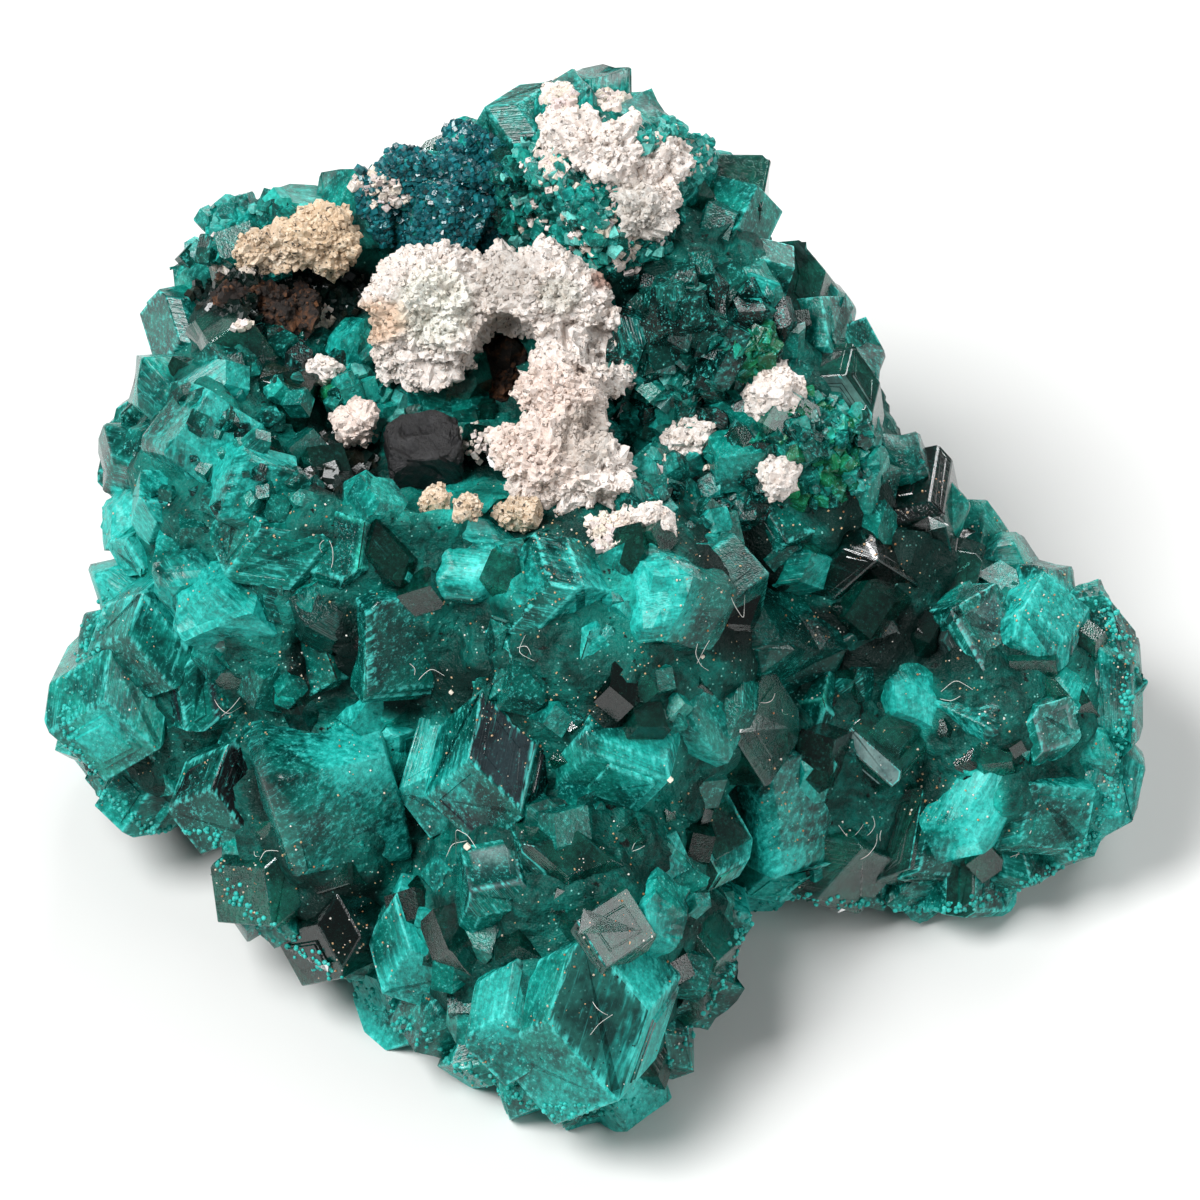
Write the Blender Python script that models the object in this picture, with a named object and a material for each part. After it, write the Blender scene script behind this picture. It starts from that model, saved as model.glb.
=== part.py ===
"""A dioptase specimen: green crystals grown together round a broken pocket of white matrix."""
import math
import random

import bmesh
import bpy
from mathutils import Matrix, Vector, noise

MM = 0.001

# Driving dimensions, in millimetres and degrees
SPECIMEN_WIDTH = 36.0
VIEW_ELEVATION = 52.0
RHOMB_TILT = 50.9
GAP = 0.3
POCKET_GAP = 0.55
BASE_LEVEL = 0.0
BLOCK = 80.0
BOX_SHIFT = (0.0, -1.35, 0.0)

# The share of triangles kept where crossing faces leave slivers, on the green mass and on the matrix
THINNED_SHARE = 0.53
LUMP_SHARE = 0.7

# The photograph's frame, in pixels: the specimen's width in it, and the point over the base's centre
PHOTO_WIDTH = 1076
PHOTO_CENTRE = (600, 794)
PIXEL = SPECIMEN_WIDTH / PHOTO_WIDTH

RIGHT = Vector((1.0, 0.0, 0.0))
UP = Vector((0.0, math.sin(math.radians(VIEW_ELEVATION)), math.cos(math.radians(VIEW_ELEVATION))))
TOWARD = Vector((0.0, -math.cos(math.radians(VIEW_ELEVATION)), math.sin(math.radians(VIEW_ELEVATION))))

# The massive body under the crystals: centre and radii of each swelling
SWELLINGS = {
    "crown": ((-6.8, 4.0, 8.0), (9.0, 8.3, 9.4)),
    "back_left": ((-7.6, 9.6, 9.0), (6.8, 5.4, 8.6)),
    "blue_wall": ((-5.2, 11.3, 10.2), (5.2, 4.8, 8.4)),
    "crest": ((-0.8, 11.3, 11.9), (4.9, 4.5, 8.6)),
    "right_top": ((3.3, 9.6, 9.3), (4.2, 5.6, 8.5)),
    "right_rim": ((5.6, 6.8, 7.5), (5.0, 6.0, 7.3)),
    "slope": ((8.4, 3.0, 5.0), (4.4, 4.9, 5.5)),
    "right_lobe": ((13.0, 0.6, 3.3), (4.9, 5.2, 5.0)),
    "right_foot": ((11.0, -1.4, 1.6), (5.4, 3.6, 3.4)),
    "bridge": ((6.5, -0.9, 3.0), (5.0, 4.8, 5.2)),
    "front": ((-1.2, -7.3, 3.0), (5.0, 6.1, 6.3)),
    "front_left": ((-8.6, -3.6, 3.4), (4.4, 4.8, 5.8)),
    "left": ((-13.2, 1.0, 4.5), (4.1, 4.4, 5.9)),
    "left_foot": ((-15.0, 0.6, 1.4), (2.8, 2.6, 3.4)),
    "left_upper": ((-11.6, 4.3, 9.0), (4.1, 4.9, 6.8)),
    "middle": ((-0.5, -1.0, 7.5), (6.3, 6.3, 8.0)),
}

# The outline in the photograph, clockwise from the top: one small crystal stands at each point
OUTLINE = [
    (604, 82), (642, 108), (690, 138), (734, 161), (768, 198), (790, 252), (833, 284),
    (850, 325), (883, 370), (874, 412), (921, 444), (950, 494), (985, 508),
    (1026, 538), (1060, 568), (1103, 592), (1133, 640), (1136, 695), (1124, 752), (1116, 815),
    (1082, 858), (1030, 888), (975, 911), (914, 914), (850, 908), (790, 901),
    (745, 934), (726, 990), (690, 1050), (640, 1104), (580, 1117), (520, 1107),
    (468, 1079), (420, 1040), (370, 1010), (318, 970), (263, 932), (222, 892),
    (208, 832), (140, 832), (95, 793), (64, 745), (66, 690), (80, 636), (103, 586), (110, 520),
    (104, 455), (142, 387), (150, 316), (186, 262), (232, 215), (290, 191),
    (345, 171), (402, 155), (452, 128), (510, 97), (560, 86),
]
RIM_CRYSTAL = 2.3
RIM_SET_IN = 0.56
RIM_SUNK = 0.4
RIM_LOWEST = 0.35

# The broken part of the top in the photograph, as an ellipse, and the sizes of the crystals that fill in
BROKEN_PART = ((500, 310), (240, 230))
FILL_WIDTHS = (5.6, 4.2, 3.2)
FRONT_FILL_WIDTH = 3.6
FILL_TRIES = 320
FILL_LOWEST = 0.6
FILL_SPACING = 0.72
FILL_SUNK = 0.25
FILL_LEAN = 0.7
FILL_REACH = 0.8
ROOM_NEEDED = 0.12


class Crystal:
    """A crystal read from the photograph: its centre there, its size and which way its long axis points."""

    def __init__(self, px, py, width, length, angle, tilt=0, roll=0, rise=0.3):
        self.px = px
        self.py = py
        self.width = width
        self.length = length
        self.angle = angle
        self.tilt = tilt
        self.roll = roll
        self.rise = rise


# The crystals that stand out, with sizes in millimetres and angles in degrees
CRYSTALS = {
    "slate_face": Crystal(500, 752, 3.4, 5.6, 78, -4, 0, 0.9),
    "slate_side": Crystal(452, 748, 2.2, 5.4, 74, -8, 26, 0.4),
    "pale_broad": Crystal(615, 742, 3.6, 4.6, 100, 12, 8, 0.7),
    "grey_hexagon": Crystal(400, 622, 4.2, 4.8, 25, 30, 10, 1.0),
    "turquoise_bulge": Crystal(655, 600, 3.6, 4.6, 8, 6, 12, 1.0),
    "bulge_left": Crystal(560, 590, 3.0, 4.2, -12, 10, 30, 0.6),
    "left_trapezoid": Crystal(165, 628, 3.4, 5.0, 70, 10, 6, 0.9),
    "left_smooth": Crystal(124, 690, 3.9, 6.0, 82, 0, 20, 1.0),
    "dusty_facet": Crystal(210, 682, 2.9, 3.8, 40, 20, 0, 0.7),
    "eye": Crystal(335, 785, 5.4, 6.0, 30, 42, 10, 1.3),
    "black_curve": Crystal(236, 785, 2.6, 4.4, 70, 0, 14, 0.7),
    "rugged_left": Crystal(243, 605, 3.4, 4.6, -40, 14, 30, 0.9),
    "rugged_left_2": Crystal(205, 575, 2.4, 3.6, -55, 10, 10, 0.7),
    "rugged_small": Crystal(318, 606, 1.7, 2.2, 60, 20, 0, 0.6),
    "triangle_grey": Crystal(391, 735, 2.3, 3.2, 20, 25, 30, 0.5),
    "dark_clear": Crystal(350, 915, 3.6, 4.8, 60, 10, 0, 0.8),
    "bright_edge": Crystal(425, 930, 3.0, 5.4, 105, -6, 18, 0.8),
    "grey_triangle_low": Crystal(494, 882, 2.5, 3.6, 130, 22, 0, 0.9),
    "tallest": Crystal(585, 1000, 4.4, 7.4, 72, 4, 12, 1.4),
    "tallest_left": Crystal(520, 1000, 2.6, 5.0, 80, -4, 20, 0.7),
    "triangle_green": Crystal(598, 925, 2.6, 3.4, 60, 30, 0, 0.9),
    "rough_block": Crystal(650, 912, 2.0, 3.0, 85, 10, 30, 0.9),
    "right_of_tall": Crystal(690, 960, 2.4, 4.0, 70, 0, 10, 0.5),
    "teal_mass": Crystal(775, 790, 5.0, 6.4, 35, 14, 10, 0.8),
    "teal_mass_up": Crystal(735, 720, 3.4, 4.2, 60, 16, 26, 0.5),
    "grey_clear": Crystal(870, 746, 2.6, 3.6, 80, 10, 0, 0.6),
    "druse_green": Crystal(908, 700, 2.4, 3.6, 95, 10, 12, 0.8),
    "mirror_left": Crystal(968, 634, 2.8, 3.6, 60, 18, 0, 1.0),
    "mirror_right": Crystal(1032, 630, 3.0, 3.8, 82, 8, 12, 1.1),
    "streak": Crystal(972, 800, 2.4, 4.6, 60, -4, 24, 0.6),
    "square_small": Crystal(1038, 727, 2.0, 2.6, 45, 24, 0, 0.6),
    "round_grey": Crystal(1034, 800, 3.4, 4.0, 15, 30, 8, 0.7),
    "edge_plate": Crystal(1094, 690, 2.6, 5.0, 92, -6, 14, 0.5),
    "edge_plate_low": Crystal(1096, 780, 2.4, 4.0, 80, -10, 28, 0.4),
    "lobe_low": Crystal(905, 820, 4.0, 5.2, 20, 16, 4, 0.6),
    "lobe_low_left": Crystal(830, 850, 3.0, 4.2, -10, 8, 22, 0.4),
    "lobe_front": Crystal(960, 865, 3.0, 4.2, 30, 0, 10, 0.4),
    "dark_slope": Crystal(900, 520, 3.9, 5.0, -48, 12, 4, 0.6),
    "dark_slope_low": Crystal(850, 560, 3.2, 4.6, -20, 14, 20, 0.6),
    "striated_grey": Crystal(840, 405, 2.2, 3.8, -55, 4, 10, 0.6),
    "right_lobe_small": Crystal(846, 358, 1.8, 2.6, 60, 0, 0, 0.3),
    "yellow_green": Crystal(747, 352, 1.8, 2.2, 30, 30, 0, 0.6),
    "dark_sparkle": Crystal(680, 332, 5.0, 5.6, -28, 34, 12, 0.8),
    "smooth_lobe": Crystal(728, 214, 3.0, 3.8, -58, -6, 10, 0.1),
    "smooth_lobe_low": Crystal(790, 300, 2.8, 4.0, -50, 0, 30, 0.3),
    "druse_lump": Crystal(812, 460, 3.0, 3.0, 50, 40, 0, 0.6),
    "left_panel": Crystal(163, 413, 2.0, 2.6, 80, 0, 0, 0.6),
    "left_lobe": Crystal(140, 446, 1.8, 3.8, 78, -8, 14, 0.3),
    "purple_facet": Crystal(172, 507, 2.0, 2.6, 120, 12, 0, 0.7),
    "left_blob": Crystal(136, 522, 1.7, 2.0, 10, 10, 10, 0.5),
    "light_facet": Crystal(146, 552, 1.6, 2.0, 60, 14, 0, 0.6),
    "ledge_below": Crystal(290, 545, 3.0, 4.6, -8, 10, 20, 0.5),
    "ledge_below_mid": Crystal(470, 570, 2.6, 4.2, -8, 10, 20, 0.6),
    "slope_low_left": Crystal(275, 880, 2.6, 4.0, 40, -4, 10, 0.5),
    "slope_mid": Crystal(560, 850, 2.8, 4.4, 140, 6, 14, 0.4),
    "slope_right": Crystal(690, 840, 3.0, 4.2, 60, 10, 0, 0.4),
    "chip": Crystal(758, 743, 1.2, 1.5, 30, 20, 0, 1.4),
    "low_left_edge": Crystal(410, 1000, 2.4, 3.8, 50, -10, 0, 0.4),
}

# Crystals and chunks on the crater's floor
CHUNKS = {
    "wedge": Crystal(357, 350, 1.6, 2.6, 70, 40, 0, 1.3),
    "green_flat": Crystal(340, 398, 1.0, 1.4, 60, 30, 0, 1.0),
    "dark_chunk_left": Crystal(484, 446, 1.3, 1.8, 20, 30, 0, 1.0),
    "dark_chunk_right": Crystal(512, 462, 1.5, 2.0, -30, 20, 0, 1.0),
    "floor_left": Crystal(240, 350, 3.0, 3.6, 60, 50, 0, 1.6),
    "floor_middle": Crystal(290, 395, 2.8, 3.4, 10, 60, 0, 1.2),
    "shelf_left": Crystal(212, 440, 3.2, 4.2, 80, 40, 0, 1.5),
    "shelf_front": Crystal(258, 490, 3.0, 4.0, 10, 30, 0, 1.5),
    "step_back": Crystal(452, 216, 2.6, 3.4, 10, 30, 0, 1.0),
}

# The crater that the top was broken open into, in world millimetres: centre and radii
CRATER = ((-6.6, 5.2, 18.4), (7.6, 6.6, 4.9))

# Deep pits: pixel, rise over the ground, radius, and how much taller than wide
PITS = {
    "black_gap": (321, 646, 0.0, 0.9, 1.5),
    "dark_cavity": (738, 580, -0.4, 1.5, 1.5),
    "brown_hole": (500, 370, 0.0, 1.1, 1.0),
}


class Lump:
    """A rounded lump of matrix: its centre in the photograph, its rise over the ground and its radii."""

    def __init__(self, px, py, rise, across, deep, tall):
        self.px = px
        self.py = py
        self.rise = rise
        self.radii = (across, deep, tall)


# The matrix: each piece is one body of lumps grown together, with its colour
MATRIX = {
    "matrix_white": ("white", [
        Lump(434, 312, 1.8, 2.0, 2.3, 2.3), Lump(408, 345, 1.4, 1.2, 1.1, 1.4),
        Lump(505, 300, 1.4, 1.3, 1.3, 1.5), Lump(553, 302, 1.6, 1.8, 1.6, 1.8),
        Lump(598, 352, 1.2, 1.1, 1.5, 1.5), Lump(564, 396, 1.1, 1.5, 1.6, 1.5),
        Lump(535, 458, 1.1, 1.6, 1.4, 1.3), Lump(590, 478, 0.9, 1.5, 1.3, 1.3)]),
    "matrix_crest": ("white", [
        Lump(568, 122, -0.1, 1.2, 1.4, 1.1), Lump(600, 152, -0.3, 1.6, 1.4, 1.3),
        Lump(655, 172, -0.3, 1.3, 1.5, 1.4), Lump(642, 216, -0.2, 1.0, 1.2, 1.1)]),
    "matrix_cream": ("cream", [
        Lump(328, 244, 0.7, 1.2, 1.2, 1.2), Lump(262, 256, 0.7, 1.0, 0.8, 0.9),
        Lump(295, 248, 0.7, 0.9, 0.8, 0.9)]),
    "matrix_tuft": ("white", [Lump(327, 372, 0.8, 0.8, 0.6, 0.7)]),
    "matrix_rose": ("rose", [Lump(358, 428, 0.8, 0.8, 0.9, 0.8)]),
    "matrix_ledge_1": ("cream", [Lump(437, 503, 0.4, 0.5, 0.5, 0.5)]),
    "matrix_ledge_2": ("cream", [Lump(472, 512, 0.4, 0.5, 0.5, 0.6)]),
    "matrix_ledge_3": ("cream", [Lump(519, 515, 0.4, 0.8, 0.6, 0.6)]),
    "matrix_shoulder_1": ("white", [Lump(768, 392, 0.4, 1.0, 0.9, 0.9)]),
    "matrix_shoulder_2": ("white", [Lump(686, 440, 0.4, 1.0, 1.0, 0.9)]),
    "matrix_shoulder_3": ("white", [Lump(774, 480, 0.4, 0.6, 0.7, 0.6)]),
    "matrix_shoulder_4": ("white", [Lump(645, 520, 0.4, 0.9, 0.7, 0.7)]),
    "brown_rock": ("brown", [Lump(502, 376, -1.2, 1.4, 1.4, 1.1)]),
    "brown_pocket": ("brown", [Lump(270, 305, -0.5, 2.0, 1.0, 1.0)]),
}
COLORS = {
    "white": ((0.78, 0.74, 0.69), 0.7),
    "cream": ((0.72, 0.58, 0.42), 0.8),
    "rose": ((0.74, 0.58, 0.52), 0.75),
    "brown": ((0.10, 0.045, 0.02), 0.85),
    "black": ((0.012, 0.012, 0.012), 0.35),
}

# The black oxide block: pixel, rise over the ground, its three sides and its turn about the vertical
OXIDE = (427, 455, 1.0, (2.5, 2.1, 1.9), 8.0)


def at(px, py, depth):
    """The point under a pixel of the photograph, `depth` millimetres toward the camera."""
    across = (px - PHOTO_CENTRE[0]) * PIXEL
    up = (PHOTO_CENTRE[1] - py) * PIXEL
    return RIGHT * across + UP * up + TOWARD * depth


def crossing(px, py, centre, radii):
    """Where the line under a pixel meets an ellipsoid: how far it misses, and its middle and half length."""
    start = at(px, py, 0.0)
    offset = Vector([(start[i] - centre[i]) / radii[i] for i in range(3)])
    step = Vector([TOWARD[i] / radii[i] for i in range(3)])
    a = step.dot(step)
    b = offset.dot(step)
    miss = offset.dot(offset) - 1.0 - b * b / a
    return miss, -b / a, math.sqrt(max(0.0, -miss / a))


def surface_depth(px, py):
    """How far toward the camera the massive body reaches under a pixel."""
    hits = [crossing(px, py, *swelling) for swelling in SWELLINGS.values()]
    reached = [middle + half for miss, middle, half in hits if miss <= 0.0]
    return max(reached) if reached else min(hits)[1]


def ground(px, py, rise):
    """The point `rise` toward the camera from the body, or from the crater's floor where that lies open."""
    depth = surface_depth(px, py)
    miss, middle, half = crossing(px, py, *CRATER)
    if miss <= 0.0 and middle - half < depth < middle + half:
        depth = middle - half
    return at(px, py, depth + rise)


def level_depth(py, height):
    """The depth at which the line under a pixel row stands `height` above the base."""
    up = (PHOTO_CENTRE[1] - py) * PIXEL
    return (height - up * UP.z) / TOWARD.z


def photo_point(point):
    """The pixel over a point of the specimen."""
    return (PHOTO_CENTRE[0] + point.dot(RIGHT) / PIXEL, PHOTO_CENTRE[1] - point.dot(UP) / PIXEL)


def room_to_outline(px, py):
    """The distance from a pixel to the outline in millimetres, negative outside it."""
    nearest = 1e9
    within = False
    for number, (bx, by) in enumerate(OUTLINE):
        ax, ay = OUTLINE[number - 1]
        along = Vector((bx - ax, by - ay))
        offset = Vector((px - ax, py - ay))
        share = min(1.0, max(0.0, offset.dot(along) / along.dot(along)))
        nearest = min(nearest, (offset - along * share).length)
        if (ay > py) != (by > py) and px < ax + (py - ay) * (bx - ax) / (by - ay):
            within = not within
    return nearest * PIXEL if within else -nearest * PIXEL


def slice_off(bm, normal, distance):
    """Cut the solid at a plane and close the cut."""
    geometry = bm.verts[:] + bm.edges[:] + bm.faces[:]
    cut = bmesh.ops.bisect_plane(
        bm, geom=geometry, dist=1e-7, plane_co=normal * distance, plane_no=normal, clear_outer=True)
    edges = [item for item in cut["geom_cut"] if isinstance(item, bmesh.types.BMEdge)]
    if len(edges) > 2:
        bmesh.ops.edgeloop_fill(bm, edges=edges)


def crystal_mesh(name, width, length, seed):
    """A short hexagonal prism with three rhombohedral faces at each end, its faces a little unequal."""
    rng = random.Random(seed)
    bm = bmesh.new()
    bmesh.ops.create_cube(bm, size=2.0 * (width + length) * MM)
    for side in range(6):
        turn = math.radians(60.0 * side)
        normal = Vector((math.cos(turn), math.sin(turn), 0.0))
        slice_off(bm, normal, 0.5 * width * rng.uniform(0.84, 1.1) * MM)
    tilt = math.radians(RHOMB_TILT)
    for end in (1, -1):
        for side in range(3):
            turn = math.radians(120.0 * side + 30.0 * end)
            normal = Vector((math.sin(tilt) * math.cos(turn), math.sin(tilt) * math.sin(turn),
                             end * math.cos(tilt)))
            slice_off(bm, normal, 0.5 * length * math.cos(tilt) * rng.uniform(0.85, 1.12) * MM)
    bmesh.ops.recalc_face_normals(bm, faces=bm.faces[:])
    mesh = bpy.data.meshes.new(name)
    bm.to_mesh(mesh)
    bm.free()
    return mesh


def long_axis(angle, tilt):
    """The direction at an angle in the photograph's plane, tilted up out of it."""
    turn = math.radians(angle)
    lean = math.radians(tilt)
    flat = RIGHT * math.cos(turn) + UP * math.sin(turn)
    return (flat * math.cos(lean) + TOWARD * math.sin(lean)).normalized()


def standing(axis, roll):
    """A turn that lays the crystal's long axis along `axis`, with a prism face toward the camera."""
    side = TOWARD - axis * TOWARD.dot(axis)
    if side.length < 0.05:
        side = UP - axis * UP.dot(axis)
    side = Matrix.Rotation(math.radians(roll), 3, axis) @ side.normalized()
    turn = Matrix((side, axis.cross(side), axis)).transposed()
    return turn.to_4x4()


def place(name, mesh, collection, matrix):
    piece = bpy.data.objects.new(name, mesh)
    piece.matrix_world = matrix
    collection.objects.link(piece)
    return piece


def swelling_mesh(name, radii, seed, segments=12, rings=8, rough=0.14, swell=0.0):
    """A lumpy ellipsoid, grown outward by `swell`."""
    bm = bmesh.new()
    bmesh.ops.create_uvsphere(bm, u_segments=segments, v_segments=rings, radius=1.0)
    for vert in bm.verts:
        lump = 1.0 + rough * noise.noise(vert.co * 2.2 + Vector((seed, 0.0, 0.0)))
        vert.co = Vector([vert.co[i] * (radii[i] * lump + swell) * MM for i in range(3)])
    bmesh.ops.triangulate(bm, faces=bm.faces[:])
    mesh = bpy.data.meshes.new(name)
    bm.to_mesh(mesh)
    bm.free()
    return mesh


def block_mesh(name, sides, swell=0.0):
    """A block with its edges knocked off, grown outward by `swell`."""
    bm = bmesh.new()
    bmesh.ops.create_cube(bm, size=1.0)
    for vert in bm.verts:
        vert.co = Vector([vert.co[i] * (sides[i] + 2.0 * swell) * MM for i in range(3)])
    for x in (-1, 1):
        for y in (-1, 1):
            normal = Vector((x * 0.5, y * 0.6, 0.62)).normalized()
            reach = 0.40 * (sides[0] * 0.5 + sides[1] * 0.6 + sides[2] * 0.62) / 0.995
            slice_off(bm, normal, (reach + swell) * MM)
    bmesh.ops.recalc_face_normals(bm, faces=bm.faces[:])
    mesh = bpy.data.meshes.new(name)
    bm.to_mesh(mesh)
    bm.free()
    return mesh


def grow_named(collection):
    """Stand the crystals of the table on the body, each sunk into it by what doesn't rise above it."""
    spots = []
    for number, (name, c) in enumerate(CRYSTALS.items()):
        axis = long_axis(c.angle, c.tilt)
        depth = surface_depth(c.px, c.py) + c.rise - 0.5 * c.width
        centre = at(c.px, c.py, depth)
        mesh = crystal_mesh(name, c.width, c.length, number)
        place(name, mesh, collection, Matrix.Translation(centre * MM) @ standing(axis, c.roll))
        spots.append((centre, 0.5 * max(c.width, 0.7 * c.length)))
    return spots


def grow_chunks(collection):
    """The chunks on the crater's floor."""
    for number, (name, c) in enumerate(CHUNKS.items()):
        axis = long_axis(c.angle, c.tilt)
        mesh = crystal_mesh(name, c.width, c.length, 200 + number)
        spot = Matrix.Translation(ground(c.px, c.py, c.rise - 0.5 * c.width) * MM)
        place(name, mesh, collection, spot @ standing(axis, c.roll))


def grow_rim(collection):
    """One small crystal at each point of the outline, its far side touching the point."""
    rng = random.Random(5)
    spots = []
    count = len(OUTLINE)
    for number, (px, py) in enumerate(OUTLINE):
        before = Vector(OUTLINE[number - 1])
        after = Vector(OUTLINE[(number + 1) % count])
        along = (after - before).normalized()
        inward = Vector((-along.y, along.x))
        width = RIM_CRYSTAL * rng.uniform(0.85, 1.25)
        shift = RIM_SET_IN * width / PIXEL
        cx = px + inward.x * shift
        cy = py + inward.y * shift
        lowest = level_depth(cy, RIM_LOWEST * width)
        centre = at(cx, cy, max(surface_depth(cx, cy) - RIM_SUNK * width, lowest))
        axis = long_axis(rng.uniform(0.0, 360.0), rng.uniform(-30.0, 50.0))
        mesh = crystal_mesh("rim_%02d" % number, width, width * rng.uniform(1.3, 1.8), 100 + number)
        place(mesh.name, mesh, collection,
              Matrix.Translation(centre * MM) @ standing(axis, rng.uniform(0.0, 60.0)))
        spots.append((centre, 0.5 * width))
    return spots


def inside(point, centre, radii):
    return sum(((point[i] - centre[i]) / radii[i]) ** 2 for i in range(3))


def broken_open(point, normal):
    """Whether a point of the body faces the camera in the broken part, where few crystals stand."""
    px, py = photo_point(point)
    centre, radii = BROKEN_PART
    near = ((px - centre[0]) / radii[0]) ** 2 + ((py - centre[1]) / radii[1]) ** 2
    return near < 1.0 and normal.dot(TOWARD) > 0.1


def grow_fill(collection, spots):
    """Crystals over the rest of the body, wherever there is room, to the back and the foot."""
    rng = random.Random(11)
    number = 0
    for width in FILL_WIDTHS:
        for name, (centre, radii) in SWELLINGS.items():
            for step in range(FILL_TRIES):
                height = rng.uniform(-1.0, 1.0)
                turn = rng.uniform(0.0, 2.0 * math.pi)
                ring = math.sqrt(1.0 - height * height)
                unit = Vector((ring * math.cos(turn), ring * math.sin(turn), height))
                point = Vector([centre[i] + unit[i] * radii[i] for i in range(3)])
                normal = Vector([unit[i] / radii[i] for i in range(3)]).normalized()
                size = width * rng.uniform(0.85, 1.15)
                room = room_to_outline(*photo_point(point))
                crowd = min((point - spot).length - FILL_SPACING * (0.5 * size + reach) for spot, reach in spots)
                buried = any(inside(point, *other) < 0.98 for other in SWELLINGS.values())
                if point.z < FILL_LOWEST or buried or crowd < 0.0 or room < ROOM_NEEDED * size:
                    continue
                if inside(point, *CRATER) < 1.1 or broken_open(point, normal):
                    continue
                if normal.dot(TOWARD) > 0.1 and width > FRONT_FILL_WIDTH:
                    continue
                lean = Vector([rng.uniform(-FILL_LEAN, FILL_LEAN) for i in range(3)])
                axis = (normal + lean).normalized()
                sunk = point - normal * max(FILL_SUNK * size, FILL_REACH * size - room)
                mesh = crystal_mesh("fill_%03d" % number, size, size * rng.uniform(1.2, 1.7), 300 + number)
                place(mesh.name, mesh, collection,
                      Matrix.Translation(sunk * MM) @ standing(axis, rng.uniform(0.0, 60.0)))
                spots.append((point, 0.5 * size))
                number += 1


def boolean(piece, operation, collection):
    modifier = piece.modifiers.new(operation.title(), "BOOLEAN")
    modifier.operation = operation
    modifier.operand_type = "COLLECTION"
    modifier.collection = collection
    modifier.solver = "EXACT"
    return modifier


def shell_of(start):
    """Every vertex joined to `start` by edges."""
    found = {start}
    waiting = [start]
    while waiting:
        for edge in waiting.pop().link_edges:
            for vert in edge.verts:
                if vert not in found:
                    found.add(vert)
                    waiting.append(vert)
    return found


def keep_outer_shell(piece):
    """Apply the cuts and keep one shell: gaps sealed among the crystals fill up and loose splinters go."""
    graph = bpy.context.evaluated_depsgraph_get()
    mesh = bpy.data.meshes.new_from_object(piece.evaluated_get(graph))
    bm = bmesh.new()
    bm.from_mesh(mesh)
    shells = []
    left = set(bm.verts)
    while left:
        shell = shell_of(next(iter(left)))
        left -= shell
        shells.append(shell)
    outer = max(shells, key=len)
    bmesh.ops.delete(bm, geom=[vert for vert in bm.verts if vert not in outer], context="VERTS")
    bmesh.ops.triangulate(bm, faces=bm.faces[:])
    bm.to_mesh(mesh)
    bm.free()
    piece.modifiers.clear()
    piece.data = mesh


def thin_slivers(piece, share):
    """Collapse the slivers that crossing faces leave, down to a share of the triangles."""
    modifier = piece.modifiers.new("Thin", "DECIMATE")
    modifier.decimate_type = "COLLAPSE"
    modifier.ratio = share


def material(name, color, roughness, metallic=0.0):
    made = bpy.data.materials.new(name)
    made.use_nodes = True
    shader = made.node_tree.nodes["Principled BSDF"]
    shader.inputs["Base Color"].default_value = (*color, 1.0)
    shader.inputs["Roughness"].default_value = roughness
    shader.inputs["Metallic"].default_value = metallic
    made.diffuse_color = (*color, 1.0)
    return made


def collection(name):
    made = bpy.data.collections.new(name)
    bpy.context.scene.collection.children.link(made)
    return made


def hide(group):
    for piece in group.objects:
        piece.hide_render = True
        piece.display_type = "WIRE"


def make_matrix(specimen, hollows):
    """The matrix pieces, and a pocket round each that leaves a hair's gap to the crystals."""
    paints = {name: material("matrix_" + name, *look) for name, look in COLORS.items()}
    seed = 60
    for name, (paint, lumps) in MATRIX.items():
        rest = collection(name + "_lumps")
        for number, lump in enumerate(lumps):
            seed += 1
            centre = Matrix.Translation(ground(lump.px, lump.py, lump.rise) * MM)
            mesh = swelling_mesh("%s_%d" % (name, number), lump.radii, seed, 8, 6, 0.25)
            pocket = swelling_mesh("pocket_%s_%d" % (name, number), lump.radii, seed, 8, 5, 0.0, POCKET_GAP)
            place(pocket.name, pocket, hollows, centre)
            if number == 0:
                piece = place(name, mesh, specimen, centre)
            else:
                place(mesh.name, mesh, rest, centre)
            mesh.materials.append(paints[paint])
        if rest.objects:
            boolean(piece, "UNION", rest)
            thin_slivers(piece, LUMP_SHARE)
            hide(rest)
        else:
            bpy.data.collections.remove(rest)
    px, py, rise, sides, turn = OXIDE
    spot = Matrix.Translation(ground(px, py, rise) * MM) @ Matrix.Rotation(math.radians(turn), 4, "Z")
    block = place("oxide_block", block_mesh("oxide_block", sides), specimen, spot)
    block.data.materials.append(paints["black"])
    place("pocket_oxide", block_mesh("pocket_oxide", sides, GAP), hollows, spot)


def cut_hollows(opened, hollows):
    """The crater and the pits between crystals."""
    centre, radii = CRATER
    crater = swelling_mesh("crater", radii, 40, 14, 9, 0.12)
    place("crater", crater, opened, Matrix.Translation(Vector(centre) * MM))
    for number, (name, (px, py, rise, radius, stretch)) in enumerate(PITS.items()):
        mesh = swelling_mesh(name, (radius, radius * 1.2, radius * stretch), 50 + number, 8, 6, 0.2)
        place(name, mesh, hollows, Matrix.Translation(ground(px, py, rise) * MM))


def cut_base(under):
    """The flat break that the specimen rests on."""
    bm = bmesh.new()
    bmesh.ops.create_cube(bm, size=BLOCK * MM)
    mesh = bpy.data.meshes.new("under_base")
    bm.to_mesh(mesh)
    bm.free()
    place("under_base", mesh, under, Matrix.Translation(Vector((0.0, 0.0, BASE_LEVEL - 0.5 * BLOCK)) * MM))


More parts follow.
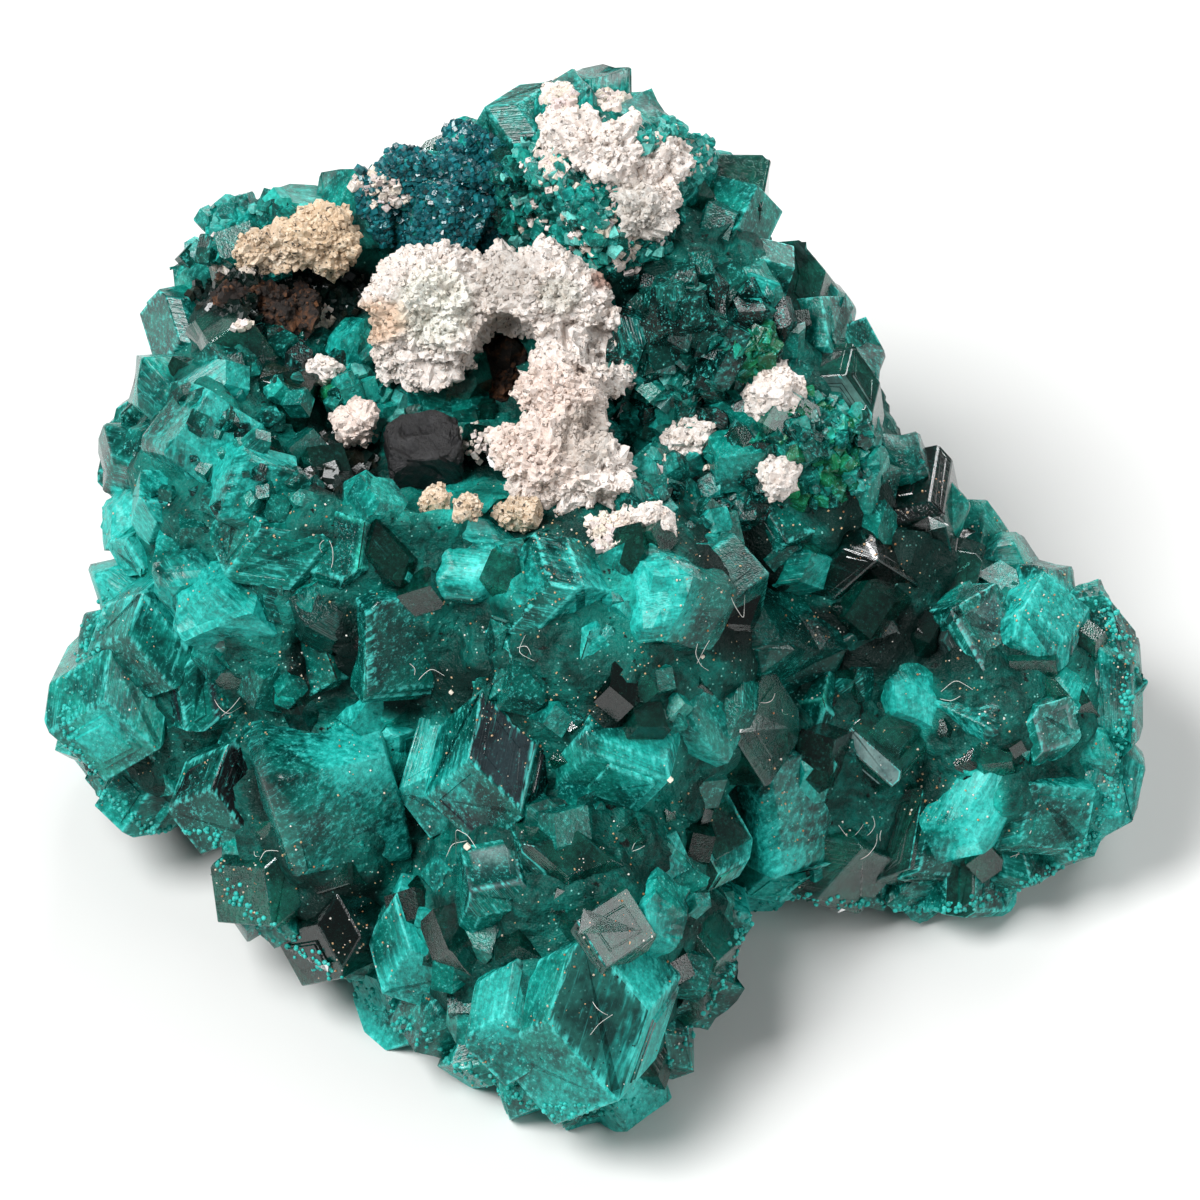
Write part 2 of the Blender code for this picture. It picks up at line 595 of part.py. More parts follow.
def make_dioptase(specimen, grown, opened, chunks, hollows, under):
    """The green mass: the body, every crystal joined to it, then the hollows and the base cut off."""
    grow_chunks(chunks)
    spots = grow_named(grown)
    for paint, lumps in MATRIX.values():
        spots += [(ground(lump.px, lump.py, lump.rise), max(lump.radii)) for lump in lumps]
    spots += grow_rim(grown)
    grow_fill(grown, spots)
    for number, (name, (centre, radii)) in enumerate(SWELLINGS.items()):
        mesh = swelling_mesh(name, radii, number)
        home = specimen if name == "middle" else grown
        piece = place(name, mesh, home, Matrix.Translation(Vector(centre) * MM))
        if name == "middle":
            mass = piece
    mass.name = "dioptase"
    green = material("dioptase_green", (0.01, 0.25, 0.18), 0.15)
    for piece in [mass, *grown.objects, *opened.objects, *chunks.objects, *hollows.objects, *under.objects]:
        piece.data.materials.append(green)
    boolean(mass, "UNION", grown)
    boolean(mass, "DIFFERENCE", opened)
    boolean(mass, "UNION", chunks)
    boolean(mass, "DIFFERENCE", hollows)
    keep_outer_shell(mass)
    thin_slivers(mass, THINNED_SHARE)
    boolean(mass, "DIFFERENCE", under)


def centre_on_base(specimen):
    """Carry every piece and cutter on one empty, moved so that the origin is under the box's middle."""
    carrier = bpy.data.objects.new("carrier", None)
    pieces = list(bpy.data.objects)
    specimen.objects.link(carrier)
    for piece in pieces:
        if piece != carrier:
            piece.parent = carrier
    carrier.location = Vector(BOX_SHIFT) * MM


def main():
    for piece in list(bpy.data.objects):
        bpy.data.objects.remove(piece)
    specimen = collection("dioptase_specimen")
    grown = collection("crystals_to_join")
    opened = collection("crater_to_cut")
    chunks = collection("chunks_to_join")
    hollows = collection("hollows_to_cut")
    under = collection("base_to_cut")
    cut_hollows(opened, hollows)
    cut_base(under)
    make_matrix(specimen, hollows)
    make_dioptase(specimen, grown, opened, chunks, hollows, under)
    for group in (grown, opened, chunks, hollows, under):
        hide(group)
    centre_on_base(specimen)


main()
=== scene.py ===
"""The dioptase specimen dressed: clear and frosted green crystals round a broken pocket of white matrix."""
import math
import random

import bmesh
import bpy
import numpy as np
from mathutils import Matrix, Vector, noise
from mathutils.bvhtree import BVHTree


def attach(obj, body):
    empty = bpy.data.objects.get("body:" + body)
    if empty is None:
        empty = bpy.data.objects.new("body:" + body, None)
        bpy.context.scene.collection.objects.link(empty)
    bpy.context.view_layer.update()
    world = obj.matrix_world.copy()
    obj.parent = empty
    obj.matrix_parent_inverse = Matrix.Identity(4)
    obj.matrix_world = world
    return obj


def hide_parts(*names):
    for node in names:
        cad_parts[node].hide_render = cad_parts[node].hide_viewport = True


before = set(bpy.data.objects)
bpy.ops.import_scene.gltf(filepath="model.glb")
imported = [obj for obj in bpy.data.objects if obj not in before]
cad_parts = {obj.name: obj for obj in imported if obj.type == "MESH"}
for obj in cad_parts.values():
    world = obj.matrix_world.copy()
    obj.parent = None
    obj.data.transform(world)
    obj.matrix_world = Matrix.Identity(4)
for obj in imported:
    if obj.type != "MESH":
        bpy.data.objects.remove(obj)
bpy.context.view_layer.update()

MM = 0.001

# Driving dimensions, in millimetres and degrees
SPECIMEN_WIDTH = 36.0
VIEW_ELEVATION = 52.0
RHOMB_TILT = 50.9
BOX_SHIFT = (0.0, -1.35, 0.0)

# The photograph's frame, in pixels: its side, the specimen's width and the point over the base's centre
PHOTO_SIZE = 1200
PHOTO_WIDTH = 1076
PHOTO_CENTRE = (600, 794)
PIXEL = SPECIMEN_WIDTH / PHOTO_WIDTH

ELEVATION = math.radians(VIEW_ELEVATION)
RIGHT = Vector((1.0, 0.0, 0.0))
UP = Vector((0.0, math.sin(ELEVATION), math.cos(ELEVATION)))
TOWARD = Vector((0.0, -math.cos(ELEVATION), math.sin(ELEVATION)))

# The massive body under the crystals: centre and radii of each swelling
SWELLINGS = {
    "crown": ((-6.8, 4.0, 8.0), (9.0, 8.3, 9.4)),
    "back_left": ((-7.6, 9.6, 9.0), (6.8, 5.4, 8.6)),
    "blue_wall": ((-5.2, 11.3, 10.2), (5.2, 4.8, 8.4)),
    "crest": ((-0.8, 11.3, 11.9), (4.9, 4.5, 8.6)),
    "right_top": ((3.3, 9.6, 9.3), (4.2, 5.6, 8.5)),
    "right_rim": ((5.6, 6.8, 7.5), (5.0, 6.0, 7.3)),
    "slope": ((8.4, 3.0, 5.0), (4.4, 4.9, 5.5)),
    "right_lobe": ((13.0, 0.6, 3.3), (4.9, 5.2, 5.0)),
    "right_foot": ((11.0, -1.4, 1.6), (5.4, 3.6, 3.4)),
    "bridge": ((6.5, -0.9, 3.0), (5.0, 4.8, 5.2)),
    "front": ((-1.2, -7.3, 3.0), (5.0, 6.1, 6.3)),
    "front_left": ((-8.6, -3.6, 3.4), (4.4, 4.8, 5.8)),
    "left": ((-13.2, 1.0, 4.5), (4.1, 4.4, 5.9)),
    "left_foot": ((-15.0, 0.6, 1.4), (2.8, 2.6, 3.4)),
    "left_upper": ((-11.6, 4.3, 9.0), (4.1, 4.9, 6.8)),
    "middle": ((-0.5, -1.0, 7.5), (6.3, 6.3, 8.0)),
}

# The outline in the photograph, clockwise from the top: one small crystal stands at each point
OUTLINE = [
    (604, 82), (642, 108), (690, 138), (734, 161), (768, 198), (790, 252), (833, 284),
    (850, 325), (883, 370), (874, 412), (921, 444), (950, 494), (985, 508),
    (1026, 538), (1060, 568), (1103, 592), (1133, 640), (1136, 695), (1124, 752), (1116, 815),
    (1082, 858), (1030, 888), (975, 911), (914, 914), (850, 908), (790, 901),
    (745, 934), (726, 990), (690, 1050), (640, 1104), (580, 1117), (520, 1107),
    (468, 1079), (420, 1040), (370, 1010), (318, 970), (263, 932), (222, 892),
    (208, 832), (140, 832), (95, 793), (64, 745), (66, 690), (80, 636), (103, 586), (110, 520),
    (104, 455), (142, 387), (150, 316), (186, 262), (232, 215), (290, 191),
    (345, 171), (402, 155), (452, 128), (510, 97), (560, 86),
]
RIM_CRYSTAL = 2.3
RIM_SET_IN = 0.56
RIM_SUNK = 0.4
RIM_LOWEST = 0.35

# The broken part of the top in the photograph, as an ellipse, and the sizes of the crystals that fill in
BROKEN_PART = ((500, 310), (240, 230))
FILL_WIDTHS = (5.6, 4.2, 3.2)
FRONT_FILL_WIDTH = 3.6
FILL_TRIES = 320
FILL_LOWEST = 0.6
FILL_SPACING = 0.72
FILL_SUNK = 0.25
FILL_LEAN = 0.7
FILL_REACH = 0.8
FILL_SUNK_DEEPER = 0.15
ROOM_NEEDED = 0.12

# A surface faces the camera where the cosine between its normal and the view is over this
FACING = 0.1


class Crystal:
    """A crystal read from the photograph: its centre, size, the angles of its long axis, rise and look.

    The first look is on the face toward the camera, the second on the rest where that has another.
    """

    def __init__(self, px, py, width, length, angle, tilt, roll, rise, front, rest=None):
        self.px, self.py = px, py
        self.width, self.length = width, length
        self.angle, self.tilt, self.roll = angle, tilt, roll
        self.rise = rise
        self.kinds = (front, rest or front)

    def turn(self):
        return standing(long_axis(self.angle, self.tilt), self.roll)


# The crystals that stand out, with sizes in millimetres and angles in degrees
CRYSTALS = {
    "slate_face": Crystal(500, 752, 3.4, 5.6, 78, -4, 0, 0.9, "slate", "teal"),
    "slate_side": Crystal(452, 748, 2.2, 5.4, 74, -8, 26, 0.4, "bright"),
    "pale_broad": Crystal(615, 742, 3.6, 4.6, 100, 12, 8, 0.7, "pale", "bright"),
    "grey_hexagon": Crystal(400, 622, 4.2, 4.8, 25, 30, 10, 1.0, "smoke", "teal"),
    "turquoise_bulge": Crystal(655, 600, 3.6, 4.6, 8, 6, 12, 1.0, "bright"),
    "bulge_left": Crystal(560, 590, 3.0, 4.2, -12, 10, 30, 0.6, "teal"),
    "left_trapezoid": Crystal(165, 628, 3.4, 5.0, 70, 10, 6, 0.9, "smoke", "teal"),
    "left_smooth": Crystal(124, 690, 3.9, 6.0, 82, 0, 20, 1.0, "pale", "teal"),
    "dusty_facet": Crystal(210, 682, 2.9, 3.8, 40, 20, 0, 0.7, "slate", "teal"),
    "eye": Crystal(335, 785, 5.4, 6.0, 30, 42, 10, 1.3, "teal", "bright"),
    "black_curve": Crystal(236, 785, 2.6, 4.4, 70, 0, 14, 0.7, "black", "teal"),
    "rugged_left": Crystal(243, 605, 3.4, 4.6, -40, 14, 30, 0.9, "grey", "bright"),
    "rugged_left_2": Crystal(205, 575, 2.4, 3.6, -55, 10, 10, 0.7, "bright"),
    "rugged_small": Crystal(318, 606, 1.7, 2.2, 60, 20, 0, 0.6, "bright"),
    "triangle_grey": Crystal(391, 735, 2.3, 3.2, 20, 25, 30, 0.5, "mirror", "teal"),
    "dark_clear": Crystal(350, 915, 3.6, 4.8, 60, 10, 0, 0.8, "dark"),
    "bright_edge": Crystal(425, 930, 3.0, 5.4, 105, -6, 18, 0.8, "teal", "bright"),
    "grey_triangle_low": Crystal(494, 882, 2.5, 3.6, 130, 22, 0, 0.9, "mirror", "teal"),
    "tallest": Crystal(585, 1000, 4.4, 7.4, 72, 4, 12, 1.4, "smoke", "bright"),
    "tallest_left": Crystal(520, 1000, 2.6, 5.0, 80, -4, 20, 0.7, "bright"),
    "triangle_green": Crystal(598, 925, 2.6, 3.4, 60, 30, 0, 0.9, "smoke", "clear"),
    "rough_block": Crystal(650, 912, 2.0, 3.0, 85, 10, 30, 0.9, "grey", "bright"),
    "right_of_tall": Crystal(690, 960, 2.4, 4.0, 70, 0, 10, 0.5, "clear"),
    "teal_mass": Crystal(775, 790, 5.0, 6.4, 35, 14, 10, 0.8, "teal"),
    "teal_mass_up": Crystal(735, 720, 3.4, 4.2, 60, 16, 26, 0.5, "teal", "clear"),
    "grey_clear": Crystal(870, 746, 2.6, 3.6, 80, 10, 0, 0.6, "mirror", "clear"),
    "druse_green": Crystal(908, 700, 2.4, 3.6, 95, 10, 12, 0.8, "bright"),
    "mirror_left": Crystal(968, 634, 2.8, 3.6, 60, 18, 0, 1.0, "mirror", "teal"),
    "mirror_right": Crystal(1032, 630, 3.0, 3.8, 82, 8, 12, 1.1, "mirror", "bright"),
    "streak": Crystal(972, 800, 2.4, 4.6, 60, -4, 24, 0.6, "bright"),
    "square_small": Crystal(1038, 727, 2.0, 2.6, 45, 24, 0, 0.6, "mirror", "teal"),
    "round_grey": Crystal(1034, 800, 3.4, 4.0, 15, 30, 8, 0.7, "smoke", "teal"),
    "edge_plate": Crystal(1094, 690, 2.6, 5.0, 92, -6, 14, 0.5, "teal"),
    "edge_plate_low": Crystal(1096, 780, 2.4, 4.0, 80, -10, 28, 0.4, "teal"),
    "lobe_low": Crystal(905, 820, 4.0, 5.2, 20, 16, 4, 0.6, "teal", "clear"),
    "lobe_low_left": Crystal(830, 850, 3.0, 4.2, -10, 8, 22, 0.4, "clear"),
    "lobe_front": Crystal(960, 865, 3.0, 4.2, 30, 0, 10, 0.4, "clear", "teal"),
    "dark_slope": Crystal(900, 520, 3.9, 5.0, -48, 12, 4, 0.6, "dark"),
    "dark_slope_low": Crystal(850, 560, 3.2, 4.6, -20, 14, 20, 0.6, "slate", "dark"),
    "striated_grey": Crystal(840, 405, 2.2, 3.8, -55, 4, 10, 0.6, "grey", "clear"),
    "right_lobe_small": Crystal(846, 358, 1.8, 2.6, 60, 0, 0, 0.3, "teal"),
    "yellow_green": Crystal(747, 352, 1.8, 2.2, 30, 30, 0, 0.6, "green"),
    "dark_sparkle": Crystal(680, 332, 5.0, 5.6, -28, 34, 12, 0.8, "dark"),
    "smooth_lobe": Crystal(728, 214, 3.0, 3.8, -58, -6, 10, 0.1, "clear"),
    "smooth_lobe_low": Crystal(790, 300, 2.8, 4.0, -50, 0, 30, 0.3, "clear"),
    "druse_lump": Crystal(812, 460, 3.0, 3.0, 50, 40, 0, 0.6, "green", "teal"),
    "left_panel": Crystal(163, 413, 2.0, 2.6, 80, 0, 0, 0.6, "grey", "teal"),
    "left_lobe": Crystal(140, 446, 1.8, 3.8, 78, -8, 14, 0.3, "smoke", "teal"),
    "purple_facet": Crystal(172, 507, 2.0, 2.6, 120, 12, 0, 0.7, "slate", "teal"),
    "left_blob": Crystal(136, 522, 1.7, 2.0, 10, 10, 10, 0.5, "bright"),
    "light_facet": Crystal(146, 552, 1.6, 2.0, 60, 14, 0, 0.6, "mirror", "bright"),
    "ledge_below": Crystal(290, 545, 3.0, 4.6, -8, 10, 20, 0.5, "teal"),
    "ledge_below_mid": Crystal(470, 570, 2.6, 4.2, -8, 10, 20, 0.6, "bright", "teal"),
    "slope_low_left": Crystal(275, 880, 2.6, 4.0, 40, -4, 10, 0.5, "clear"),
    "slope_mid": Crystal(560, 850, 2.8, 4.4, 140, 6, 14, 0.4, "teal", "clear"),
    "slope_right": Crystal(690, 840, 3.0, 4.2, 60, 10, 0, 0.4, "clear", "teal"),
    "chip": Crystal(758, 743, 1.2, 1.5, 30, 20, 0, 1.4, "bright"),
    "low_left_edge": Crystal(410, 1000, 2.4, 3.8, 50, -10, 0, 0.4, "clear", "teal"),
}

# Crystals and chunks on the crater's floor
CHUNKS = {
    "wedge": Crystal(357, 350, 1.6, 2.6, 70, 40, 0, 1.3, "bright"),
    "green_flat": Crystal(340, 398, 1.0, 1.4, 60, 30, 0, 1.0, "green"),
    "dark_chunk_left": Crystal(484, 446, 1.3, 1.8, 20, 30, 0, 1.0, "dark"),
    "dark_chunk_right": Crystal(512, 462, 1.5, 2.0, -30, 20, 0, 1.0, "dark"),
    "floor_left": Crystal(240, 350, 3.0, 3.6, 60, 50, 0, 1.6, "clear"),
    "floor_middle": Crystal(290, 395, 2.8, 3.4, 10, 60, 0, 1.2, "dark"),
    "shelf_left": Crystal(212, 440, 3.2, 4.2, 80, 40, 0, 1.5, "teal"),
    "shelf_front": Crystal(258, 490, 3.0, 4.0, 10, 30, 0, 1.5, "teal"),
    "step_back": Crystal(452, 216, 2.6, 3.4, 10, 30, 0, 1.0, "teal"),
}

# The crater that the top was broken open into: centre and radii
CRATER = ((-6.6, 5.2, 18.4), (7.6, 6.6, 4.9))

# Deep pits: pixel, rise over the ground, radius, and how much taller than wide
PITS = {
    "black_gap": (321, 646, 0.0, 0.9, 1.5),
    "dark_cavity": (738, 580, -0.4, 1.5, 1.5),
    "brown_hole": (500, 370, 0.0, 1.1, 1.0),
}


class Lump:
    """A rounded lump of matrix: its centre in the photograph, its rise over the ground and its radii."""

    def __init__(self, px, py, rise, across, deep, tall):
        self.px = px
        self.py = py
        self.rise = rise
        self.radii = (across, deep, tall)


# The matrix: each piece is one body of lumps grown together, with its colour
MATRIX = {
    "matrix_white": ("white", [
        Lump(434, 312, 1.8, 2.0, 2.3, 2.3), Lump(408, 345, 1.4, 1.2, 1.1, 1.4),
        Lump(505, 300, 1.4, 1.3, 1.3, 1.5), Lump(553, 302, 1.6, 1.8, 1.6, 1.8),
        Lump(598, 352, 1.2, 1.1, 1.5, 1.5), Lump(564, 396, 1.1, 1.5, 1.6, 1.5),
        Lump(535, 458, 1.1, 1.6, 1.4, 1.3), Lump(590, 478, 0.9, 1.5, 1.3, 1.3)]),
    "matrix_crest": ("white", [
        Lump(568, 122, -0.1, 1.2, 1.4, 1.1), Lump(600, 152, -0.3, 1.6, 1.4, 1.3),
        Lump(655, 172, -0.3, 1.3, 1.5, 1.4), Lump(642, 216, -0.2, 1.0, 1.2, 1.1)]),
    "matrix_cream": ("cream", [
        Lump(328, 244, 0.7, 1.2, 1.2, 1.2), Lump(262, 256, 0.7, 1.0, 0.8, 0.9),
        Lump(295, 248, 0.7, 0.9, 0.8, 0.9)]),
    "matrix_tuft": ("white", [Lump(327, 372, 0.8, 0.8, 0.6, 0.7)]),
    "matrix_rose": ("rose", [Lump(358, 428, 0.8, 0.8, 0.9, 0.8)]),
    "matrix_ledge_1": ("cream", [Lump(437, 503, 0.4, 0.5, 0.5, 0.5)]),
    "matrix_ledge_2": ("cream", [Lump(472, 512, 0.4, 0.5, 0.5, 0.6)]),
    "matrix_ledge_3": ("cream", [Lump(519, 515, 0.4, 0.8, 0.6, 0.6)]),
    "matrix_shoulder_1": ("white", [Lump(768, 392, 0.4, 1.0, 0.9, 0.9)]),
    "matrix_shoulder_2": ("white", [Lump(686, 440, 0.4, 1.0, 1.0, 0.9)]),
    "matrix_shoulder_3": ("white", [Lump(774, 480, 0.4, 0.6, 0.7, 0.6)]),
    "matrix_shoulder_4": ("white", [Lump(645, 520, 0.4, 0.9, 0.7, 0.7)]),
    "brown_rock": ("brown", [Lump(502, 376, -1.2, 1.4, 1.4, 1.1)]),
    "brown_pocket": ("brown", [Lump(270, 305, -0.5, 2.0, 1.0, 1.0)]),
}
# The black oxide block: pixel, rise over the ground, its three sides and its turn about the vertical
OXIDE = (427, 455, 1.0, (2.5, 2.1, 1.9), 8.0)


def at(px, py, depth):
    """The point under a pixel of the photograph, `depth` millimetres toward the camera."""
    across = (px - PHOTO_CENTRE[0]) * PIXEL
    up = (PHOTO_CENTRE[1] - py) * PIXEL
    return RIGHT * across + UP * up + TOWARD * depth


def crossing(px, py, centre, radii):
    """Where the line under a pixel meets an ellipsoid: how far it misses, and its middle and half length."""
    start = at(px, py, 0.0)
    offset = Vector([(start[i] - centre[i]) / radii[i] for i in range(3)])
    step = Vector([TOWARD[i] / radii[i] for i in range(3)])
    a = step.dot(step)
    b = offset.dot(step)
    miss = offset.dot(offset) - 1.0 - b * b / a
    return miss, -b / a, math.sqrt(max(0.0, -miss / a))


def surface_depth(px, py):
    """How far toward the camera the massive body reaches under a pixel."""
    hits = [crossing(px, py, *swelling) for swelling in SWELLINGS.values()]
    reached = [middle + half for miss, middle, half in hits if miss <= 0.0]
    return max(reached) if reached else min(hits)[1]


def ground(px, py, rise):
    """The point `rise` toward the camera from the body, or from the crater's floor where that lies open."""
    depth = surface_depth(px, py)
    miss, middle, half = crossing(px, py, *CRATER)
    if miss <= 0.0 and middle - half < depth < middle + half:
        depth = middle - half
    return at(px, py, depth + rise)


def level_depth(py, height):
    """The depth at which the line under a pixel row stands `height` above the base."""
    up = (PHOTO_CENTRE[1] - py) * PIXEL
    return (height - up * UP.z) / TOWARD.z


def photo_point(point):
    """The pixel over a point of the specimen."""
    return (PHOTO_CENTRE[0] + point.dot(RIGHT) / PIXEL, PHOTO_CENTRE[1] - point.dot(UP) / PIXEL)


def room_to_outline(px, py):
    """The distance from a pixel to the outline in millimetres, negative outside it."""
    nearest = 1e9
    within = False
    for number, (bx, by) in enumerate(OUTLINE):
        ax, ay = OUTLINE[number - 1]
        along = Vector((bx - ax, by - ay))
        offset = Vector((px - ax, py - ay))
        share = min(1.0, max(0.0, offset.dot(along) / along.dot(along)))
        nearest = min(nearest, (offset - along * share).length)
        if (ay > py) != (by > py) and px < ax + (py - ay) * (bx - ax) / (by - ay):
            within = not within
    return nearest * PIXEL if within else -nearest * PIXEL


def slice_off(bm, normal, distance):
    """Cut the solid at a plane and close the cut."""
    geometry = bm.verts[:] + bm.edges[:] + bm.faces[:]
    cut = bmesh.ops.bisect_plane(
        bm, geom=geometry, dist=1e-7, plane_co=normal * distance, plane_no=normal, clear_outer=True)
    edges = [item for item in cut["geom_cut"] if isinstance(item, bmesh.types.BMEdge)]
    if len(edges) > 2:
        bmesh.ops.edgeloop_fill(bm, edges=edges)


def long_axis(angle, tilt):
    """The direction at an angle in the photograph's plane, tilted up out of it."""
    turn = math.radians(angle)
    lean = math.radians(tilt)
    flat = RIGHT * math.cos(turn) + UP * math.sin(turn)
    return (flat * math.cos(lean) + TOWARD * math.sin(lean)).normalized()


def standing(axis, roll):
    """A turn that lays the crystal's long axis along `axis`, with a prism face toward the camera."""
    side = TOWARD - axis * TOWARD.dot(axis)
    if side.length < 0.05:
        side = UP - axis * UP.dot(axis)
    side = Matrix.Rotation(math.radians(roll), 3, axis) @ side.normalized()
    turn = Matrix((side, axis.cross(side), axis)).transposed()
    return turn.to_4x4()


def inside(point, centre, radii):
    """Below 1 where a point lies inside an ellipsoid."""
    return sum(((point[i] - centre[i]) / radii[i]) ** 2 for i in range(3))


def within(px, py, zones):
    """Whether a pixel lies in one of the ellipses."""
    return any(((px - x) / rx) ** 2 + ((py - y) / ry) ** 2 < 1.0 for (x, y), (rx, ry) in zones)


def broken_open(point, normal):
    """Whether a point of the body faces the camera in the broken part, where few crystals stand."""
    return within(*photo_point(point), [BROKEN_PART]) and normal.dot(TOWARD) > FACING


def pixels(points):
    """The columns and rows of the pixels over an array of points."""
    return (PHOTO_CENTRE[0] + points @ np.array(RIGHT) / PIXEL,
            PHOTO_CENTRE[1] - points @ np.array(UP) / PIXEL)


# The crystals with a rugged, finely stepped surface
RUGGED = ("rugged_left", "rugged_left_2", "rugged_small", "rough_block", "turquoise_bulge", "druse_green",
          "druse_lump", "left_blob", "wedge", "chip")

# Each look: its material, its colour and how frosted it is, a frost below nought letting the painted shade
# darken it sooner. The grey of the mirror and grey looks is a painted reflection of the lamps in flat faces,
# not the crystal's colour
KINDS = {
    "clear": ("clear", (0.03, 0.50, 0.37), 0.0),
    "dark": ("clear", (0.006, 0.16, 0.115), -0.3),
    "black": ("satin", (0.004, 0.006, 0.007), -0.3),
    "teal": ("frosted", (0.002, 0.130, 0.103), 0.12),
    "pale": ("frosted", (0.008, 0.24, 0.190), 0.22),
    "bright": ("frosted", (0.004, 0.20, 0.160), 0.3),
    "mirror": ("satin", (0.150, 0.235, 0.225), -0.4),
    "green": ("frosted", (0.010, 0.24, 0.085), 0.2),
    "slate": ("satin", (0.016, 0.032, 0.037), -0.25),
    "smoke": ("satin", (0.010, 0.080, 0.066), -0.1),
    "grey": ("satin", (0.070, 0.165, 0.145), -0.12),
}
SLOTS = ("clear", "frosted", "satin")
RIM_KINDS = ("teal", "teal", "pale", "bright")
FILL_KINDS = ("clear", "bright", "teal", "teal", "teal", "dark", "pale", "smoke", "bright", "teal", "clear",
              "clear")
FILL_REST_KINDS = ("clear", "teal", "teal", "bright")

# How the crystals differ: the growth over their size in the CAD, the share with soft faces, the shares of
# rugged ones on the rim and in the fill, and the chunks wide enough to be soft
GROWN = 1.13
SOFT_SHARE = 0.5
RUGGED_RIM = 0.15
RUGGED_FILL = 0.12
SOFT_CHUNK = 2.5
# The first seeds of the groups, as in the CAD, and that of the crystals that grow out of others
RIM_SEED = 100
CHUNK_SEED = 200
FILL_SEED = 300
BRANCH_SEED = 1000
# How far apart the noise of two crystals may lie, so that no two have one pattern
PATTERNS = 50.0
# Where no crystal fills in: the mouth of the black-brown pocket
POCKET_MOUTH = [((285.0, 290.0), (85.0, 36.0))]

# Frosted zones in the photograph: pixel, half width, half height and strength
FROST = [
    ((368, 752), (40, 48), 1.3), ((506, 575), (40, 26), 0.8), ((428, 586), (14, 14), 0.7),
    ((659, 598), (56, 36), 0.9), ((452, 749), (30, 60), 0.5), ((94, 733), (20, 34), 0.8),
    ((205, 600), (34, 50), 0.6), ((274, 626), (32, 32), 0.6), ((618, 1023), (42, 76), 0.9),
    ((524, 998), (28, 40), 0.7), ((408, 915), (24, 60), 0.8), ((975, 800), (26, 50), 0.9),
    ((1030, 610), (44, 30), 0.6), ((908, 700), (24, 42), 0.8), ((745, 860), (56, 40), 0.6),
    ((320, 1000), (80, 50), 0.4), ((640, 925), (36, 40), 0.6), ((650, 760), (30, 46), 0.6),
    ((130, 520), (40, 30), 0.7), ((125, 590), (40, 36), 0.6), ((1100, 780), (40, 90), 0.35),
    ((235, 470), (80, 56), 0.55), ((215, 400), (30, 60), 0.5), ((290, 508), (100, 18), 0.5),
    ((470, 500), (90, 22), 0.8), ((620, 600), (60, 40), 0.6), ((740, 890), (70, 26), 0.5),
]
# The dark zones, likewise: painted shade in the hollows, the pocket and under the ledge, and the darker
# crystals' own tone
DARK_AND_SHADE = [
    ((345, 466), (34, 30), 1.7), ((288, 296), (90, 30), 1.4), ((505, 462), (34, 18), 0.9),
    ((305, 785), (46, 36), 1.1), ((736, 582), (44, 70), 1.0), ((860, 640), (110, 34), 0.9),
    ((350, 920), (60, 46), 0.7), ((565, 1010), (24, 60), 0.6), ((440, 690), (80, 24), 0.7),
    ((330, 650), (40, 40), 0.9), ((690, 890), (40, 40), 0.5), ((900, 520), (70, 70), 0.6),
    ((680, 330), (80, 50), 0.5), ((620, 712), (28, 24), 0.8), ((800, 660), (60, 26), 0.5),
]


def zone_share(zones, px, py):
    """How strongly a pixel, or each of an array of them, lies in the zones, with 0 outside them."""
    share = 0.0
    for (cx, cy), (rx, ry), strength in zones:
        near = ((px - cx) / rx) ** 2 + ((py - cy) / ry) ** 2
        share = np.maximum(share, strength * np.clip(1.6 - near, 0.0, 1.0))
    return share


class Form:
    """A closed form in its own frame: points in millimetres, faces, and each point's distance to an edge."""

    def __init__(self, bm):
        layer = bm.verts.layers.float.get("edge")
        bm.verts.index_update()
        bm.normal_update()
        self.points = np.array([vert.co[:] for vert in bm.verts])
        self.faces = [[vert.index for vert in face.verts] for face in bm.faces]
        self.normals = [face.normal.copy() for face in bm.faces]
        self.edge = np.array([vert[layer] if layer else 1.0 for vert in bm.verts])
        bm.free()

    def placed(self, matrix):
        """The points where a matrix puts them."""
        return self.points @ np.array(matrix.to_3x3()).T + np.array(matrix.translation)

    def spot(self, rng):
        """The middle and the normal of a face drawn at random."""
        points = [Vector(self.points[index]) for index in rng.choice(self.faces)]
        normal = (points[1] - points[0]).cross(points[2] - points[0]).normalized()
        return sum(points, Vector()) / len(points), normal


